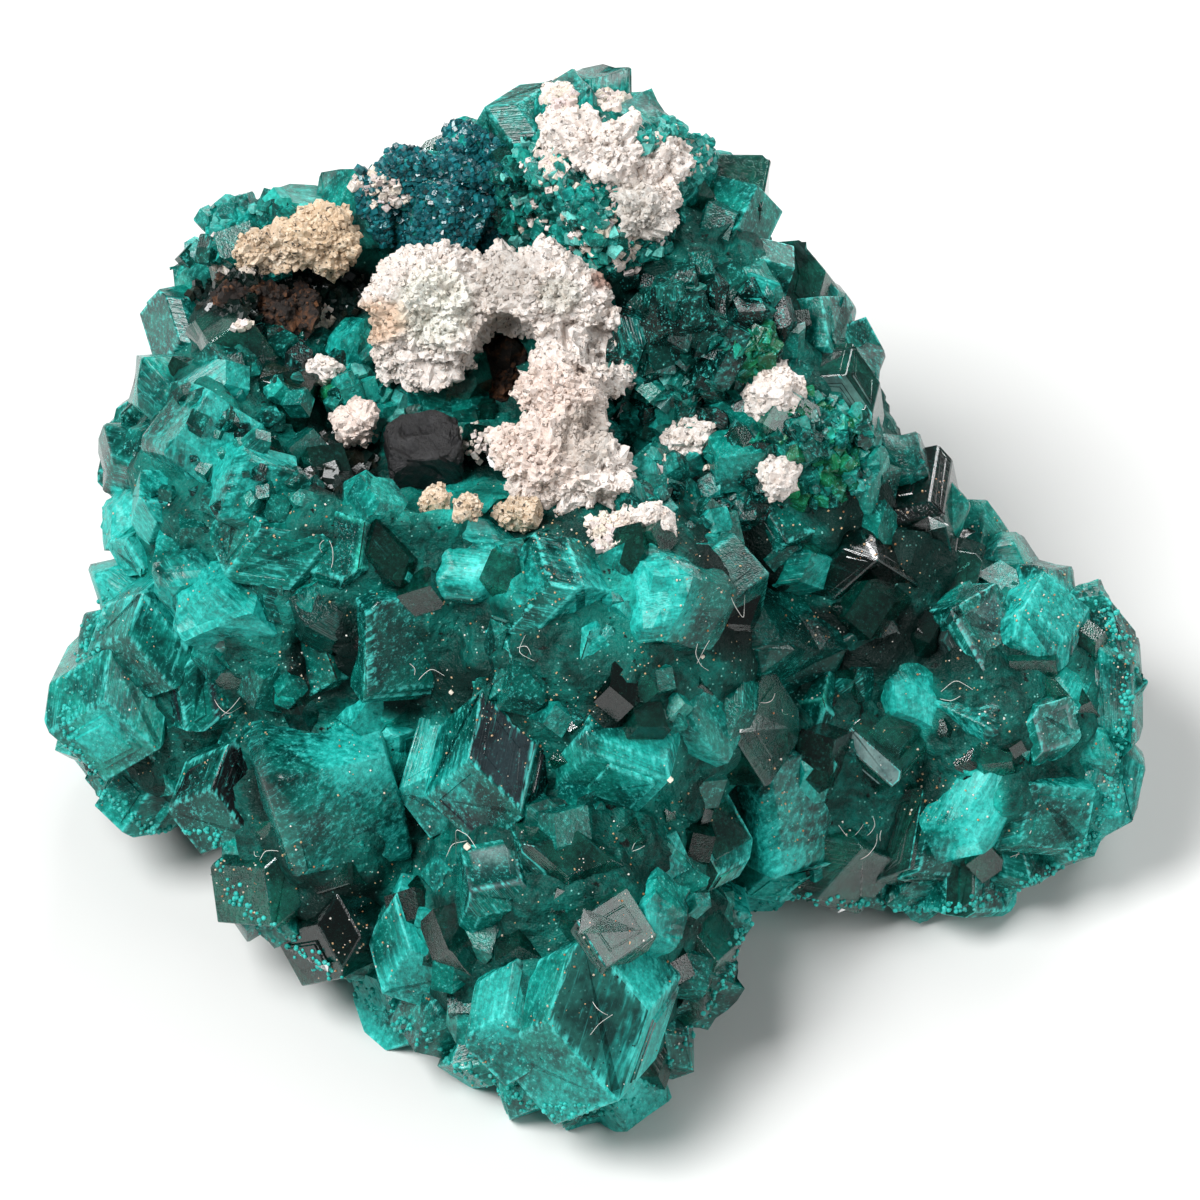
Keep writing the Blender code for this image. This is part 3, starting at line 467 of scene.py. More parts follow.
class Pile:
    """Closed forms gathered into one mesh, with the colour and frost of each point, the frost also carrying
    painted shade and a painted glow.
    """

    def __init__(self):
        self.points, self.local, self.paint, self.frost, self.edge = [], [], [], [], []
        self.faces, self.slots, self.smooth = [], [], []
        self.count = 0

    def add(self, form, matrix, slots, paint, frost, shift=0.0, smooth=False):
        """Puts in a form; slots has the material of each face, paint and frost (with its painted shade and
        glow) a value or one a point.
        """
        number = len(form.points)
        self.points.append(form.placed(matrix))
        self.local.append(form.points * np.array(matrix.to_scale()) + shift)
        self.paint.append(np.broadcast_to(np.array(paint, dtype=float), (number, 3)))
        self.frost.append(np.broadcast_to(np.array(frost, dtype=float), (number,)))
        self.edge.append(form.edge)
        self.faces.extend([[index + self.count for index in face] for face in form.faces])
        self.slots.extend(slots if not isinstance(slots, int) else [slots] * len(form.faces))
        self.smooth.extend([smooth] * len(form.faces))
        self.count += number

    def join(self, other):
        """Takes in the shapes of another pile, to find where small things lie."""
        self.faces += [[index + self.count for index in face] for face in other.faces]
        self.points += other.points
        self.count += other.count

    def tree(self):
        return BVHTree.FromPolygons(np.concatenate(self.points).tolist(), self.faces)

    def build(self, name, materials):
        """The mesh as one piece of the specimen, moved to the model's own frame."""
        mesh = bpy.data.meshes.new(name)
        points = np.concatenate(self.points)
        points[:, 2] = np.maximum(points[:, 2], 0.0)
        points = (points + np.array(BOX_SHIFT)) * MM
        mesh.from_pydata(points.tolist(), [], self.faces)
        for made in materials:
            mesh.materials.append(made)
        mesh.polygons.foreach_set("material_index", self.slots)
        mesh.polygons.foreach_set("use_smooth", self.smooth)
        for label, kind, values, field in (
                ("local", "FLOAT_VECTOR", np.concatenate(self.local), "vector"),
                ("frost", "FLOAT", np.concatenate(self.frost), "value"),
                ("edge", "FLOAT", np.concatenate(self.edge), "value")):
            layer = mesh.attributes.new(label, kind, "POINT")
            layer.data.foreach_set(field, np.ascontiguousarray(values, dtype=np.float32).ravel())
        paint = np.concatenate(self.paint)
        layer = mesh.attributes.new("paint", "FLOAT_COLOR", "POINT")
        rgba = np.ones((len(paint), 4), dtype=np.float32)
        rgba[:, :3] = paint
        layer.data.foreach_set("color", rgba.ravel())
        mesh.update()
        piece = bpy.data.objects.new(name, mesh)
        bpy.context.scene.collection.objects.link(piece)
        return piece


def cut_crystal(width, length, seed):
    """A short hexagonal prism with three rhombohedral faces at each end, its faces a little unequal."""
    rng = random.Random(seed)
    bm = bmesh.new()
    bmesh.ops.create_cube(bm, size=2.0 * (width + length))
    for side in range(6):
        turn = math.radians(60.0 * side)
        normal = Vector((math.cos(turn), math.sin(turn), 0.0))
        slice_off(bm, normal, 0.5 * width * rng.uniform(0.84, 1.1))
    tilt = math.radians(RHOMB_TILT)
    for end in (1, -1):
        for side in range(3):
            turn = math.radians(120.0 * side + 30.0 * end)
            normal = Vector((math.sin(tilt) * math.cos(turn), math.sin(tilt) * math.sin(turn),
                             end * math.cos(tilt)))
            slice_off(bm, normal, 0.5 * length * math.cos(tilt) * rng.uniform(0.85, 1.12))
    bmesh.ops.recalc_face_normals(bm, faces=bm.faces[:])
    return bm


def trim(bm, matrix, reach):
    """Cuts a crystal off at the base and at the wall of the crater."""
    centre = matrix.translation
    turn = matrix.to_3x3().transposed()
    if centre.z < reach:
        slice_off(bm, -(turn @ Vector((0.0, 0.0, 1.0))), centre.z)
    middle, radii = CRATER
    offset = Vector([(centre[i] - middle[i]) / radii[i] for i in range(3)])
    if 0.3 < offset.length < 1.0 + 0.9 * reach / min(radii) and centre.z < middle[2] + 1.5:
        wall = Vector([middle[i] + offset[i] / offset.length * radii[i] for i in range(3)])
        inward = -Vector([offset[i] / radii[i] for i in range(3)]).normalized()
        slice_off(bm, turn @ inward, inward.dot(wall - centre))


def break_edges(bm, offset):
    """Puts a narrow flat along every edge."""
    bmesh.ops.bevel(bm, geom=bm.edges[:], offset=offset, offset_type="OFFSET", segments=1, profile=0.5,
                    affect="EDGES", clamp_overlap=True)


def divide(bm, cuts):
    """Splits the faces up, ready for a relief."""
    bmesh.ops.triangulate(bm, faces=bm.faces[:])
    bmesh.ops.subdivide_edges(bm, edges=bm.edges[:], cuts=cuts, use_grid_fill=True)


def inset(bm, face, thickness, depth=0.0):
    bmesh.ops.inset_individual(bm, faces=[face], thickness=thickness, depth=depth)


def dress(bm, width, rng, steps=0.5):
    """Knocks the edges off, raises growth steps on some of the faces and marks the points off the edges."""
    bmesh.ops.remove_doubles(bm, verts=bm.verts[:], dist=0.004 * width)
    break_edges(bm, 0.011 * width)
    layer = bm.verts.layers.float.new("edge")
    for face in [face for face in bm.faces if face.calc_area() > (0.16 * width) ** 2]:
        inner = face.calc_area() / face.calc_perimeter()
        inset(bm, face, min(0.09 * width, 0.5 * inner))
        for vert in face.verts:
            vert[layer] = 1.0
        if rng.random() < steps:
            for step in range(rng.choice((1, 2))):
                inner = face.calc_area() / face.calc_perimeter()
                inset(bm, face, inner * rng.uniform(0.2, 0.7))
                inset(bm, face, 0.012 * width, rng.uniform(-0.012, 0.02) * width)
                for vert in face.verts:
                    vert[layer] = 1.0


# How deep the relief of rugged and of soft faces is, as a share of the crystal's width
RELIEF = 0.07


def roughen(bm, width, seed):
    """Breaks a crystal's faces up into a rugged, finely stepped surface."""
    divide(bm, 3)
    bm.normal_update()
    for vert in bm.verts:
        spot = vert.co / width * 3.0 + Vector((seed, 0.0, 0.0))
        lump = noise.fractal(spot, 0.6, 2.1, 5)
        fine = abs(noise.noise(vert.co / width * 16.0))
        vert.co += vert.normal * width * (RELIEF * lump - 0.02 * fine)
    bmesh.ops.triangulate(bm, faces=bm.faces[:])


def soften(bm, width, seed):
    """Rounds a crystal off and lets its faces swell and dip, as frosted and corroded ones do."""
    bmesh.ops.remove_doubles(bm, verts=bm.verts[:], dist=0.01 * width)
    break_edges(bm, 0.05 * width)
    divide(bm, 1)
    bmesh.ops.triangulate(bm, faces=bm.faces[:])
    bm.normal_update()
    for vert in bm.verts:
        spot = vert.co / width * 1.7 + Vector((seed, 0.0, 0.0))
        vert.co += vert.normal * width * RELIEF * noise.fractal(spot, 0.8, 2.0, 4)
    layer = bm.verts.layers.float.new("edge")
    for vert in bm.verts:
        vert[layer] = 0.6


def facing(form, matrix, front, rest):
    """The material slot of each face: one look on those toward the camera, one on the rest."""
    turn = matrix.to_3x3()
    best = max(range(len(form.faces)), key=lambda i: (turn @ form.normals[i]).normalized().dot(TOWARD))
    main = form.normals[best]
    return [front if normal.dot(main) > 0.97 else rest for normal in form.normals]


def frost_at(points, own):
    """The frost of each point: the crystal's own and that of its zone, less the painted shade of the dark
    zones, and more along the foot as a painted glow.
    """
    px, py = pixels(points)
    # painted glow along the lower rim: more frost, so brighter turquoise, toward the base
    foot_glow = np.clip(1.0 - points[:, 2] / 1.1, 0.0, 1.0)
    return own + 0.8 * zone_share(FROST, px, py) - 0.9 * zone_share(DARK_AND_SHADE, px, py) + 0.7 * foot_glow


def rooted(width, length, seed, matrix):
    """A crystal cut off at the base and at the crater, or None where too little of it is left."""
    bm = cut_crystal(width, length, seed)
    trim(bm, matrix, 0.5 * length)
    if len(bm.faces) >= 4:
        return bm
    bm.free()
    return None


def plant(pile, width, length, seed, matrix, kinds, rugged):
    """One crystal of the CAD, dressed, with thinner crystals grown parallel to it out of its faces."""
    rng = random.Random(seed * 7 + 3)
    bm = rooted(width, length, seed, matrix)
    if bm is None:
        return
    front, rest = [KINDS[kind] for kind in kinds]
    soft = not rugged and front[0] == rest[0] == "frosted" and rng.random() < SOFT_SHARE
    if rugged:
        roughen(bm, width, seed)
    elif soft:
        soften(bm, width, seed)
    else:
        dress(bm, width, rng)
    form = Form(bm)
    front_slot = SLOTS.index(front[0])
    slots = facing(form, matrix, front_slot, SLOTS.index(rest[0]))
    shade = rng.uniform(0.8, 1.2)
    colours = np.tile(np.array(rest[1]) * shade, (len(form.points), 1))
    for face, slot in zip(form.faces, slots):
        if slot == front_slot:
            colours[face] = np.array(front[1]) * shade
    frost = frost_at(form.placed(matrix), rest[2] + rng.uniform(-0.1, 0.1))
    pile.add(form, matrix, slots, colours, frost, rng.uniform(0.0, PATTERNS), soft)
    if soft:
        return
    for number in range(rng.choice((0, 1, 1))):
        small = width * rng.uniform(0.6, 0.9)
        tall = length * rng.uniform(0.4, 0.8)
        turn = math.radians(60.0 * rng.randrange(6) + rng.uniform(-6.0, 6.0))
        out = 0.5 * width - 0.5 * small + rng.uniform(0.0, 0.035) * width
        spot = Vector((math.cos(turn) * out, math.sin(turn) * out, rng.uniform(-0.15, 0.15) * length))
        wobble = Matrix.Rotation(math.radians(rng.uniform(-4.0, 4.0)), 4, "X")
        where = matrix @ Matrix.Translation(spot) @ wobble
        bm = rooted(small, tall, seed + BRANCH_SEED + number, where)
        if bm is None:
            continue
        dress(bm, small, rng, 0.2)
        branch = Form(bm)
        slot, colour, own = KINDS[rng.choice(kinds)]
        pile.add(branch, where, SLOTS.index(slot), np.array(colour) * rng.uniform(0.8, 1.3),
                 frost_at(branch.placed(where), own + rng.uniform(-0.1, 0.2)), rng.uniform(0.0, PATTERNS))


def grow_named(pile):
    """The crystals of the table, each sunk into the body by what doesn't rise above it."""
    spots = []
    for number, (name, c) in enumerate(CRYSTALS.items()):
        centre = at(c.px, c.py, surface_depth(c.px, c.py) + c.rise - 0.5 * c.width)
        matrix = Matrix.Translation(centre) @ c.turn()
        plant(pile, GROWN * c.width, GROWN * c.length, number, matrix, c.kinds, name in RUGGED)
        spots.append((centre, 0.5 * max(c.width, 0.7 * c.length)))
    return spots


def grow_chunks(pile):
    """The chunks on the crater's floor."""
    for number, (name, c) in enumerate(CHUNKS.items()):
        matrix = Matrix.Translation(ground(c.px, c.py, c.rise - 0.5 * c.width)) @ c.turn()
        bm = cut_crystal(c.width, c.length, CHUNK_SEED + number)
        if name in RUGGED:
            roughen(bm, c.width, number)
        elif c.width > SOFT_CHUNK:
            soften(bm, c.width, number)
        else:
            dress(bm, c.width, random.Random(number))
        form = Form(bm)
        slot, colour, own = KINDS[c.kinds[0]]
        pile.add(form, matrix, SLOTS.index(slot), colour, frost_at(form.placed(matrix), own), 10.0 * number)


def grow_rim(pile):
    """One small crystal at each point of the outline, its far side touching the point."""
    rng = random.Random(5)
    looks = random.Random(6)
    spots = []
    count = len(OUTLINE)
    for number, (px, py) in enumerate(OUTLINE):
        before = Vector(OUTLINE[number - 1])
        after = Vector(OUTLINE[(number + 1) % count])
        along = (after - before).normalized()
        inward = Vector((-along.y, along.x))
        width = RIM_CRYSTAL * rng.uniform(0.85, 1.25)
        shift = RIM_SET_IN * width / PIXEL
        cx = px + inward.x * shift
        cy = py + inward.y * shift
        lowest = level_depth(cy, RIM_LOWEST * width)
        centre = at(cx, cy, max(surface_depth(cx, cy) - RIM_SUNK * width, lowest))
        axis = long_axis(rng.uniform(0.0, 360.0), rng.uniform(-30.0, 50.0))
        length = width * rng.uniform(1.3, 1.8)
        matrix = Matrix.Translation(centre) @ standing(axis, rng.uniform(0.0, 60.0))
        kind = looks.choice(RIM_KINDS)
        plant(pile, width, length, RIM_SEED + number, matrix, (kind, kind), looks.random() < RUGGED_RIM)
        spots.append((centre, 0.5 * width))
    return spots


def grow_fill(pile, spots):
    """Crystals over the rest of the body, wherever there is room, to the back and the foot."""
    rng = random.Random(11)
    looks = random.Random(12)
    number = 0
    for width in FILL_WIDTHS:
        for centre, radii in SWELLINGS.values():
            for attempt in range(FILL_TRIES):
                height = rng.uniform(-1.0, 1.0)
                turn = rng.uniform(0.0, 2.0 * math.pi)
                ring = math.sqrt(1.0 - height * height)
                unit = Vector((ring * math.cos(turn), ring * math.sin(turn), height))
                point = Vector([centre[i] + unit[i] * radii[i] for i in range(3)])
                normal = Vector([unit[i] / radii[i] for i in range(3)]).normalized()
                size = width * rng.uniform(0.85, 1.15)
                if point.z < FILL_LOWEST or any(inside(point, *other) < 0.98 for other in SWELLINGS.values()):
                    continue
                if inside(point, *CRATER) < 1.1 or broken_open(point, normal):
                    continue
                if normal.dot(TOWARD) > FACING and width > FRONT_FILL_WIDTH:
                    continue
                if any((point - spot).length < FILL_SPACING * (0.5 * size + reach) for spot, reach in spots):
                    continue
                room = room_to_outline(*photo_point(point))
                if room < ROOM_NEEDED * size:
                    continue
                lean = Vector([rng.uniform(-FILL_LEAN, FILL_LEAN) for i in range(3)])
                axis = (normal + lean).normalized()
                deeper = FILL_SUNK_DEEPER if normal.dot(TOWARD) > FACING else 0.0
                sunk = point - normal * max((FILL_SUNK + deeper) * size, FILL_REACH * size - room)
                length = size * rng.uniform(1.2, 1.7)
                matrix = Matrix.Translation(sunk) @ standing(axis, rng.uniform(0.0, 60.0))
                kinds = (looks.choice(FILL_KINDS), looks.choice(FILL_REST_KINDS))
                if not within(*photo_point(point), POCKET_MOUTH):
                    plant(pile, size, length, FILL_SEED + number, matrix, kinds, looks.random() < RUGGED_FILL)
                    spots.append((point, 0.5 * size))
                number += 1


def ball_distance(grid, centre, radii):
    """Roughly how far each point of a grid is outside an ellipsoid."""
    offset = [(grid[i] - centre[i]) / radii[i] for i in range(3)]
    near = np.sqrt(sum(value * value for value in offset)) + 1e-9
    steep = np.sqrt(sum((value / radii[i]) ** 2 for i, value in enumerate(offset))) + 1e-9
    return near * (near - 1.0) / steep


def crossings(field, axis):
    """The grid edges along an axis that the surface crosses: their first corners, where and which way."""
    first = np.take(field, range(field.shape[axis] - 1), axis)
    second = np.take(field, range(1, field.shape[axis]), axis)
    corners = np.argwhere((first < 0.0) != (second < 0.0))
    low = first[tuple(corners.T)]
    high = second[tuple(corners.T)]
    return corners, low / (low - high), low < 0.0


def skin(field, origin, step):
    """The closed surface where a field on a grid is zero: its points and its faces of four corners."""
    size = np.array(field.shape) - 1
    total = np.zeros((*size, 3))
    count = np.zeros(size)
    found = []
    for axis in range(3):
        corners, share, leaving = crossings(field, axis)
        across = [other for other in range(3) if other != axis]
        spots = corners.astype(float)
        spots[:, axis] += share
        around = []
        for first, second in ((0, 0), (-1, 0), (-1, -1), (0, -1)):
            cell = corners.copy()
            cell[:, across[0]] += first
            cell[:, across[1]] += second
            np.add.at(total, tuple(cell.T), spots)
            np.add.at(count, tuple(cell.T), 1.0)
            around.append(cell)
        found.append((around, leaving if axis != 1 else ~leaving))
    number = np.full(size, -1)
    active = count > 0.0
    number[active] = np.arange(int(active.sum()))
    points = origin + step * total[active] / count[active][:, None]
    faces = []
    for around, leaving in found:
        quads = np.stack([number[tuple(cell.T)] for cell in around], 1)
        quads[~leaving] = quads[~leaving][:, ::-1]
        faces.append(quads)
    return points, np.concatenate(faces)


# How softly balls melt together, and the grid steps of the core's and of the matrix's skin
BLEND = 0.5
CORE_STEP = 0.3
MATRIX_STEP = 0.16


def melted(balls, step, cutters):
    """One closed skin round a group of balls melted together, less those to cut, above the base."""
    low = np.min([[centre[i] - radii[i] for i in range(3)] for centre, radii in balls], axis=0) - 3.0 * step
    high = np.max([[centre[i] + radii[i] for i in range(3)] for centre, radii in balls], axis=0) + 3.0 * step
    low[2] = max(low[2], -2.0 * step)
    grid = np.meshgrid(*[np.arange(low[i], high[i], step) for i in range(3)], indexing="ij")
    field = None
    for centre, radii in balls:
        distance = ball_distance(grid, centre, radii)
        if field is None:
            field = distance
        else:
            near = np.clip(0.5 + 0.5 * (distance - field) / BLEND, 0.0, 1.0)
            field = distance * (1.0 - near) + field * near - BLEND * near * (1.0 - near)
    for centre, radii in cutters:
        field = np.maximum(field, -ball_distance(grid, centre, radii))
    field = np.maximum(field, 1e-4 - grid[2])
    points, faces = skin(field, low, step)
    bm = bmesh.new()
    verts = [bm.verts.new(point) for point in points.tolist()]
    for face in faces.tolist():
        bm.faces.new([verts[index] for index in face])
    bmesh.ops.triangulate(bm, faces=bm.faces[:])
    bm.normal_update()
    return bm


def make_core():
    """The massive body between the crystals' roots, with the crater broken into it and its flat base."""
    cutters = [CRATER]
    for px, py, rise, radius, stretch in PITS.values():
        cutters.append((ground(px, py, rise), (radius, radius * 1.2, radius * stretch)))
    bm = melted(list(SWELLINGS.values()), CORE_STEP, cutters)
    turn = Matrix.Rotation(0.7, 3, "X") @ Matrix.Rotation(0.5, 3, "Y")
    for vert in bm.verts:
        spot = turn @ vert.co
        rough = noise.fractal(vert.co * 0.9, 0.7, 2.2, 4) * 0.16
        large = noise.voronoi(spot * 0.42, distance_metric="CHEBYCHEV")[0][0]
        small = noise.voronoi(spot * 1.0, distance_metric="CHEBYCHEV")[0][0]
        rise = 0.35 if broken_open(vert.co, vert.normal) else 0.85
        room = min(1.0, max(0.0, 0.6 * room_to_outline(*photo_point(vert.co))))
        vert.co += vert.normal * (rough + rise * room - 1.1 * large - 0.3 * small)
        vert.co.z = max(vert.co.z, 0.0)
    return Form(bm)


class Net:
    """A node material in the making; its methods add nodes and give back their outputs."""

    def __init__(self, name):
        self.material = bpy.data.materials.new(name)
        self.material.use_nodes = True
        self.tree = self.material.node_tree
        self.shader = self.tree.nodes["Principled BSDF"]

    def feed(self, socket, value):
        if isinstance(value, bpy.types.NodeSocket):
            self.tree.links.new(value, socket)
        elif isinstance(value, (tuple, list)) and len(value) == 3 and socket.type == "RGBA":
            socket.default_value = (*value, 1.0)
        else:
            socket.default_value = value

    def node(self, kind, settings=None, **inputs):
        made = self.tree.nodes.new("ShaderNode" + kind)
        for key, value in (settings or {}).items():
            setattr(made, key, value)
        for key, value in inputs.items():
            self.feed(made.inputs[key.replace("_", " ")], value)
        return made

    def attribute(self, name, output="Fac"):
        return self.node("Attribute", {"attribute_name": name}).outputs[output]

    def noise(self, vector, scale, detail=4.0, roughness=0.55, distortion=0.0):
        return self.node("TexNoise", Vector=vector, Scale=scale, Detail=detail, Roughness=roughness,
                         Distortion=distortion).outputs["Fac"]

    def cells(self, vector, scale):
        return self.node("TexVoronoi", Vector=vector, Scale=scale).outputs["Distance"]

    def stretched(self, vector, scale):
        return self.node("Mapping", Vector=vector, Scale=scale).outputs["Vector"]

    def ramp(self, value, low, high, to_low=0.0, to_high=1.0):
        made = self.node("MapRange", {"interpolation_type": "SMOOTHSTEP"}, Value=value, From_Min=low,
                         From_Max=high, To_Min=to_low, To_Max=to_high)
        return made.outputs["Result"]

    def mix(self, share, low, high, blend="MIX"):
        made = self.node("Mix", {"data_type": "RGBA", "blend_type": blend})
        self.feed(made.inputs[0], share)
        self.feed(made.inputs[6], low)
        self.feed(made.inputs[7], high)
        return made.outputs[2]

    def tinted(self, colour, tint):
        return self.mix(1.0, colour, tint, "MULTIPLY")

    def math(self, operation, first, second):
        made = self.node("Math", {"operation": operation})
        self.feed(made.inputs[0], first)
        self.feed(made.inputs[1], second)
        return made.outputs[0]

    def times(self, first, second):
        return self.math("MULTIPLY", first, second)

    def total(self, first, *weighed):
        """A value and others added to it, each times its weight."""
        for value, weight in weighed:
            first = self.math("ADD", first, self.times(value, weight))
        return first

    def bump(self, height, strength, distance):
        return self.node("Bump", Height=height, Strength=strength, Distance=distance).outputs["Normal"]

    def principled(self, **inputs):
        for key, value in inputs.items():
            self.feed(self.shader.inputs[key.replace("_", " ")], value)
        return self.material


TURQUOISE = (0.011, 0.43, 0.375)
WHITISH = (0.09, 0.74, 0.67)


def crystal_material(name, transmission, smooth_rough, frost_rough, frost_pull, specular, absorb=None,
                     pitted=False):
    """Crystal in its own colour, with bright turquoise, fibrous zones where it is frosted; painted highlights
    along striations and edges, painted glints, and painted shade where the frost is below nought and, on
    pitted ones, in pits.
    """
    net = Net(name)
    local = net.attribute("local", "Vector")
    paint = net.attribute("paint", "Color")
    frost = net.attribute("frost")
    edge = net.attribute("edge")
    place = net.node("TexCoord").outputs["Object"]
    veil = net.noise(place, 260.0, 3.0, 0.6, 0.7)
    cloud = net.noise(local, 0.8, 3.0, 0.6)
    fibre = net.noise(net.stretched(local, (5.0, 5.0, 0.9)), 1.0, 2.0, 0.65)
    pattern = net.total(net.times(veil, 0.75), (fibre, 0.55), (cloud, 0.35), (frost, frost_pull),
                        (edge, -0.05))
    mask = net.ramp(pattern, 0.84, 1.30)
    hot = net.ramp(pattern, 1.20, 1.60)
    deep = net.tinted(paint, (0.28, 0.34, 0.36))
    colour = net.mix(net.ramp(cloud, 0.36, 0.62), deep, paint)
    colour = net.mix(mask, colour, TURQUOISE)
    colour = net.mix(net.times(hot, 0.85), colour, WHITISH)
    lines = net.noise(net.stretched(local, (22.0, 22.0, 0.8)), 1.0, 1.0, 0.6)
    most = 0.12 if pitted else 0.36
    # painted highlights: whitish streaks along the striations
    striation_highlights = net.times(net.ramp(lines, 0.50, 0.62), net.ramp(fibre, 0.52, 0.66, 0.0, most))
    colour = net.mix(striation_highlights, colour, WHITISH)
    # painted highlights along the crystal edges
    edge_highlights = net.times(net.ramp(edge, 0.75, 0.05), net.ramp(fibre, 0.44, 0.60, 0.0, 0.55))
    colour = net.mix(edge_highlights, colour, WHITISH)
    grain = net.noise(local, 6.0, 2.0, 0.75)
    dull = net.ramp(grain, 0.36, 0.56, 0.25 if pitted else 0.5, 0.0)
    colour = net.mix(dull, colour, net.tinted(colour, (0.2, 0.3, 0.3)))
    colour = net.mix(net.ramp(grain, 0.56, 0.74, 0.0, 0.08 if pitted else 0.40), colour, WHITISH)
    # painted glints: small bright turquoise specks where the veil is strong
    specks = net.times(net.ramp(net.cells(local, 4.5), 0.16, 0.09), net.ramp(veil, 0.46, 0.56))
    colour = net.mix(net.times(specks, 0.2 if pitted else 0.6), colour, (0.20, 0.68, 0.60))
    # painted shade of pits: near-black dots on the pitted faces
    if pitted:
        colour = net.mix(net.ramp(grain, 0.28, 0.34), (0.003, 0.012, 0.011), colour)
    # painted shade: below nought the frost darkens the colour toward near black, as in the dark zones
    painted_shade = net.ramp(frost, -0.9, -0.3, 0.8, 0.0)
    colour = net.mix(painted_shade, colour, (0.0008, 0.010, 0.008))
    roughness = net.ramp(mask, 0.0, 1.0, smooth_rough, frost_rough)
    calm = pitted or transmission > 0.5
    height = net.total(lines, (grain, 0.2 if calm else 0.8))
    normal = net.bump(height, 0.15 if calm else 0.35, 0.00006)
    net.principled(Base_Color=colour, Roughness=roughness, Normal=normal, IOR=1.65,
                   Transmission_Weight=transmission, Specular_IOR_Level=specular)
    if absorb:
        tint, density = absorb
        volume = net.node("VolumeAbsorption", Color=tint, Density=density)
        net.tree.links.new(volume.outputs[0], net.tree.nodes["Material Output"].inputs["Volume"])
    return net.material


def core_material():
    """The frosted, fractured roots under the clear crystals, with painted shade in pits and in the dark
    zones, painted glints, and the foot's painted glow through its frost.
    """
    net = Net("dioptase_roots")
    local = net.attribute("local", "Vector")
    frost = net.attribute("frost")
    cloud = net.noise(local, 0.55, 4.0, 0.65, 0.6)
    fine = net.noise(local, 4.0, 3.0, 0.7)
    pattern = net.total(cloud, (fine, 0.35), (frost, 0.4))
    colour = net.mix(net.ramp(pattern, 0.52, 0.95), (0.001, 0.026, 0.021), (0.004, 0.16, 0.130))
    colour = net.mix(net.ramp(pattern, 0.88, 1.20), colour, (0.015, 0.48, 0.41))
    # painted shade of pits: near-black spots
    pit_shade = net.ramp(net.noise(local, 1.9, 3.0, 0.7), 0.36, 0.31)
    colour = net.mix(pit_shade, colour, (0.002, 0.006, 0.005))
    # painted glints: small bright specks
    specks = net.times(net.ramp(net.cells(local, 4.5), 0.18, 0.10), net.ramp(cloud, 0.46, 0.56))
    colour = net.mix(net.times(specks, 0.7), colour, (0.25, 0.68, 0.60))
    # painted shade: near black where the frost is below nought, as in the dark zones
    colour = net.mix(net.ramp(frost, -0.9, -0.2, 0.9, 0.0), colour, (0.0006, 0.006, 0.005))
    normal = net.bump(net.total(fine, (net.noise(local, 12.0, 1.0, 0.7), 0.4)), 0.7, 0.00018)
    return net.principled(Base_Color=colour, Roughness=0.42, Normal=normal, Specular_IOR_Level=0.14)


def matrix_material(name, light, warm, speck):
    """Sugary gangue: pale grains with warm stains and dark specks."""
    net = Net(name)
    local = net.attribute("local", "Vector")
    paint = net.attribute("paint", "Color")
    grain = net.noise(local, 8.0, 3.0, 0.75)
    stain = net.noise(local, 1.1, 4.0, 0.65, 0.5)
    colour = net.mix(net.ramp(grain, 0.35, 0.7), warm, light)
    colour = net.mix(net.ramp(stain, 0.5, 0.72), colour, warm)
    colour = net.tinted(colour, paint)
    specks = net.ramp(net.noise(local, 4.5, 2.0, 0.8), 0.60, 0.66)
    colour = net.mix(net.times(specks, speck), colour, (0.02, 0.018, 0.015))
    normal = net.bump(grain, 0.6, 0.00012)
    return net.principled(Base_Color=colour, Roughness=net.ramp(grain, 0.3, 0.7, 0.45, 0.85), Normal=normal,
                          IOR=1.5)


def rock_material(name, dark, light, roughness):
    """Dull rock of two colours in clouds and grains."""
    net = Net(name)
    local = net.attribute("local", "Vector")
    cloud = net.noise(local, 1.6, 8.0, 0.7, 0.4)
    fine = net.noise(local, 12.0, 4.0, 0.7)
    colour = net.mix(net.ramp(cloud, 0.47, 0.72), dark, light)
    colour = net.mix(net.ramp(fine, 0.62, 0.78), colour, light)
    height = net.total(cloud, (fine, 0.5))
    return net.principled(Base_Color=colour, Roughness=roughness, Normal=net.bump(height, 0.7, 0.0002))


def small_form(seed, stretch):
    """A small crystal one unit wide."""
    return Form(cut_crystal(1.0, stretch, seed))


def turned(axis, rng):
    """A turn that lays the long axis along `axis`."""
    return axis.to_track_quat("Z", "X").to_matrix().to_4x4() @ Matrix.Rotation(rng.uniform(0.0, 6.28), 4, "Z")


def seated(where, normal, size, out, rng, lean=None):
    """The pose of a small form, `out` of its size off the surface: leaning off the normal, or any way up."""
    reach = lean or 1.0
    axis = Vector([rng.uniform(-reach, reach) for i in range(3)])
    if lean:
        axis += normal
    turn = turned(axis.normalized(), rng)
    return Matrix.Translation(where + normal * out * size) @ turn @ Matrix.Scale(size, 4)


# Where nothing small lies: the brown hole
BARE = [((503, 374), (38, 44))]
# A height toward the camera from which every ray starts outside the specimen
ABOVE_ALL = 60.0


def hit_from_camera(tree, px, py):
    """The surface under a pixel: its place, its normal toward the camera, and the face's number."""
    if within(px, py, BARE):
        return None
    where, normal, index, distance = tree.ray_cast(at(px, py, ABOVE_ALL), -TOWARD)
    if where is None:
        return None
    if normal.dot(TOWARD) < 0.0:
        normal = -normal
    return where, normal, index


def in_ellipse(rng, centre, radii):
    """A pixel drawn evenly over an ellipse."""
    turn = rng.uniform(0.0, 2.0 * math.pi)
    reach = math.sqrt(rng.random())
    return centre[0] + radii[0] * reach * math.cos(turn), centre[1] + radii[1] * reach * math.sin(turn)


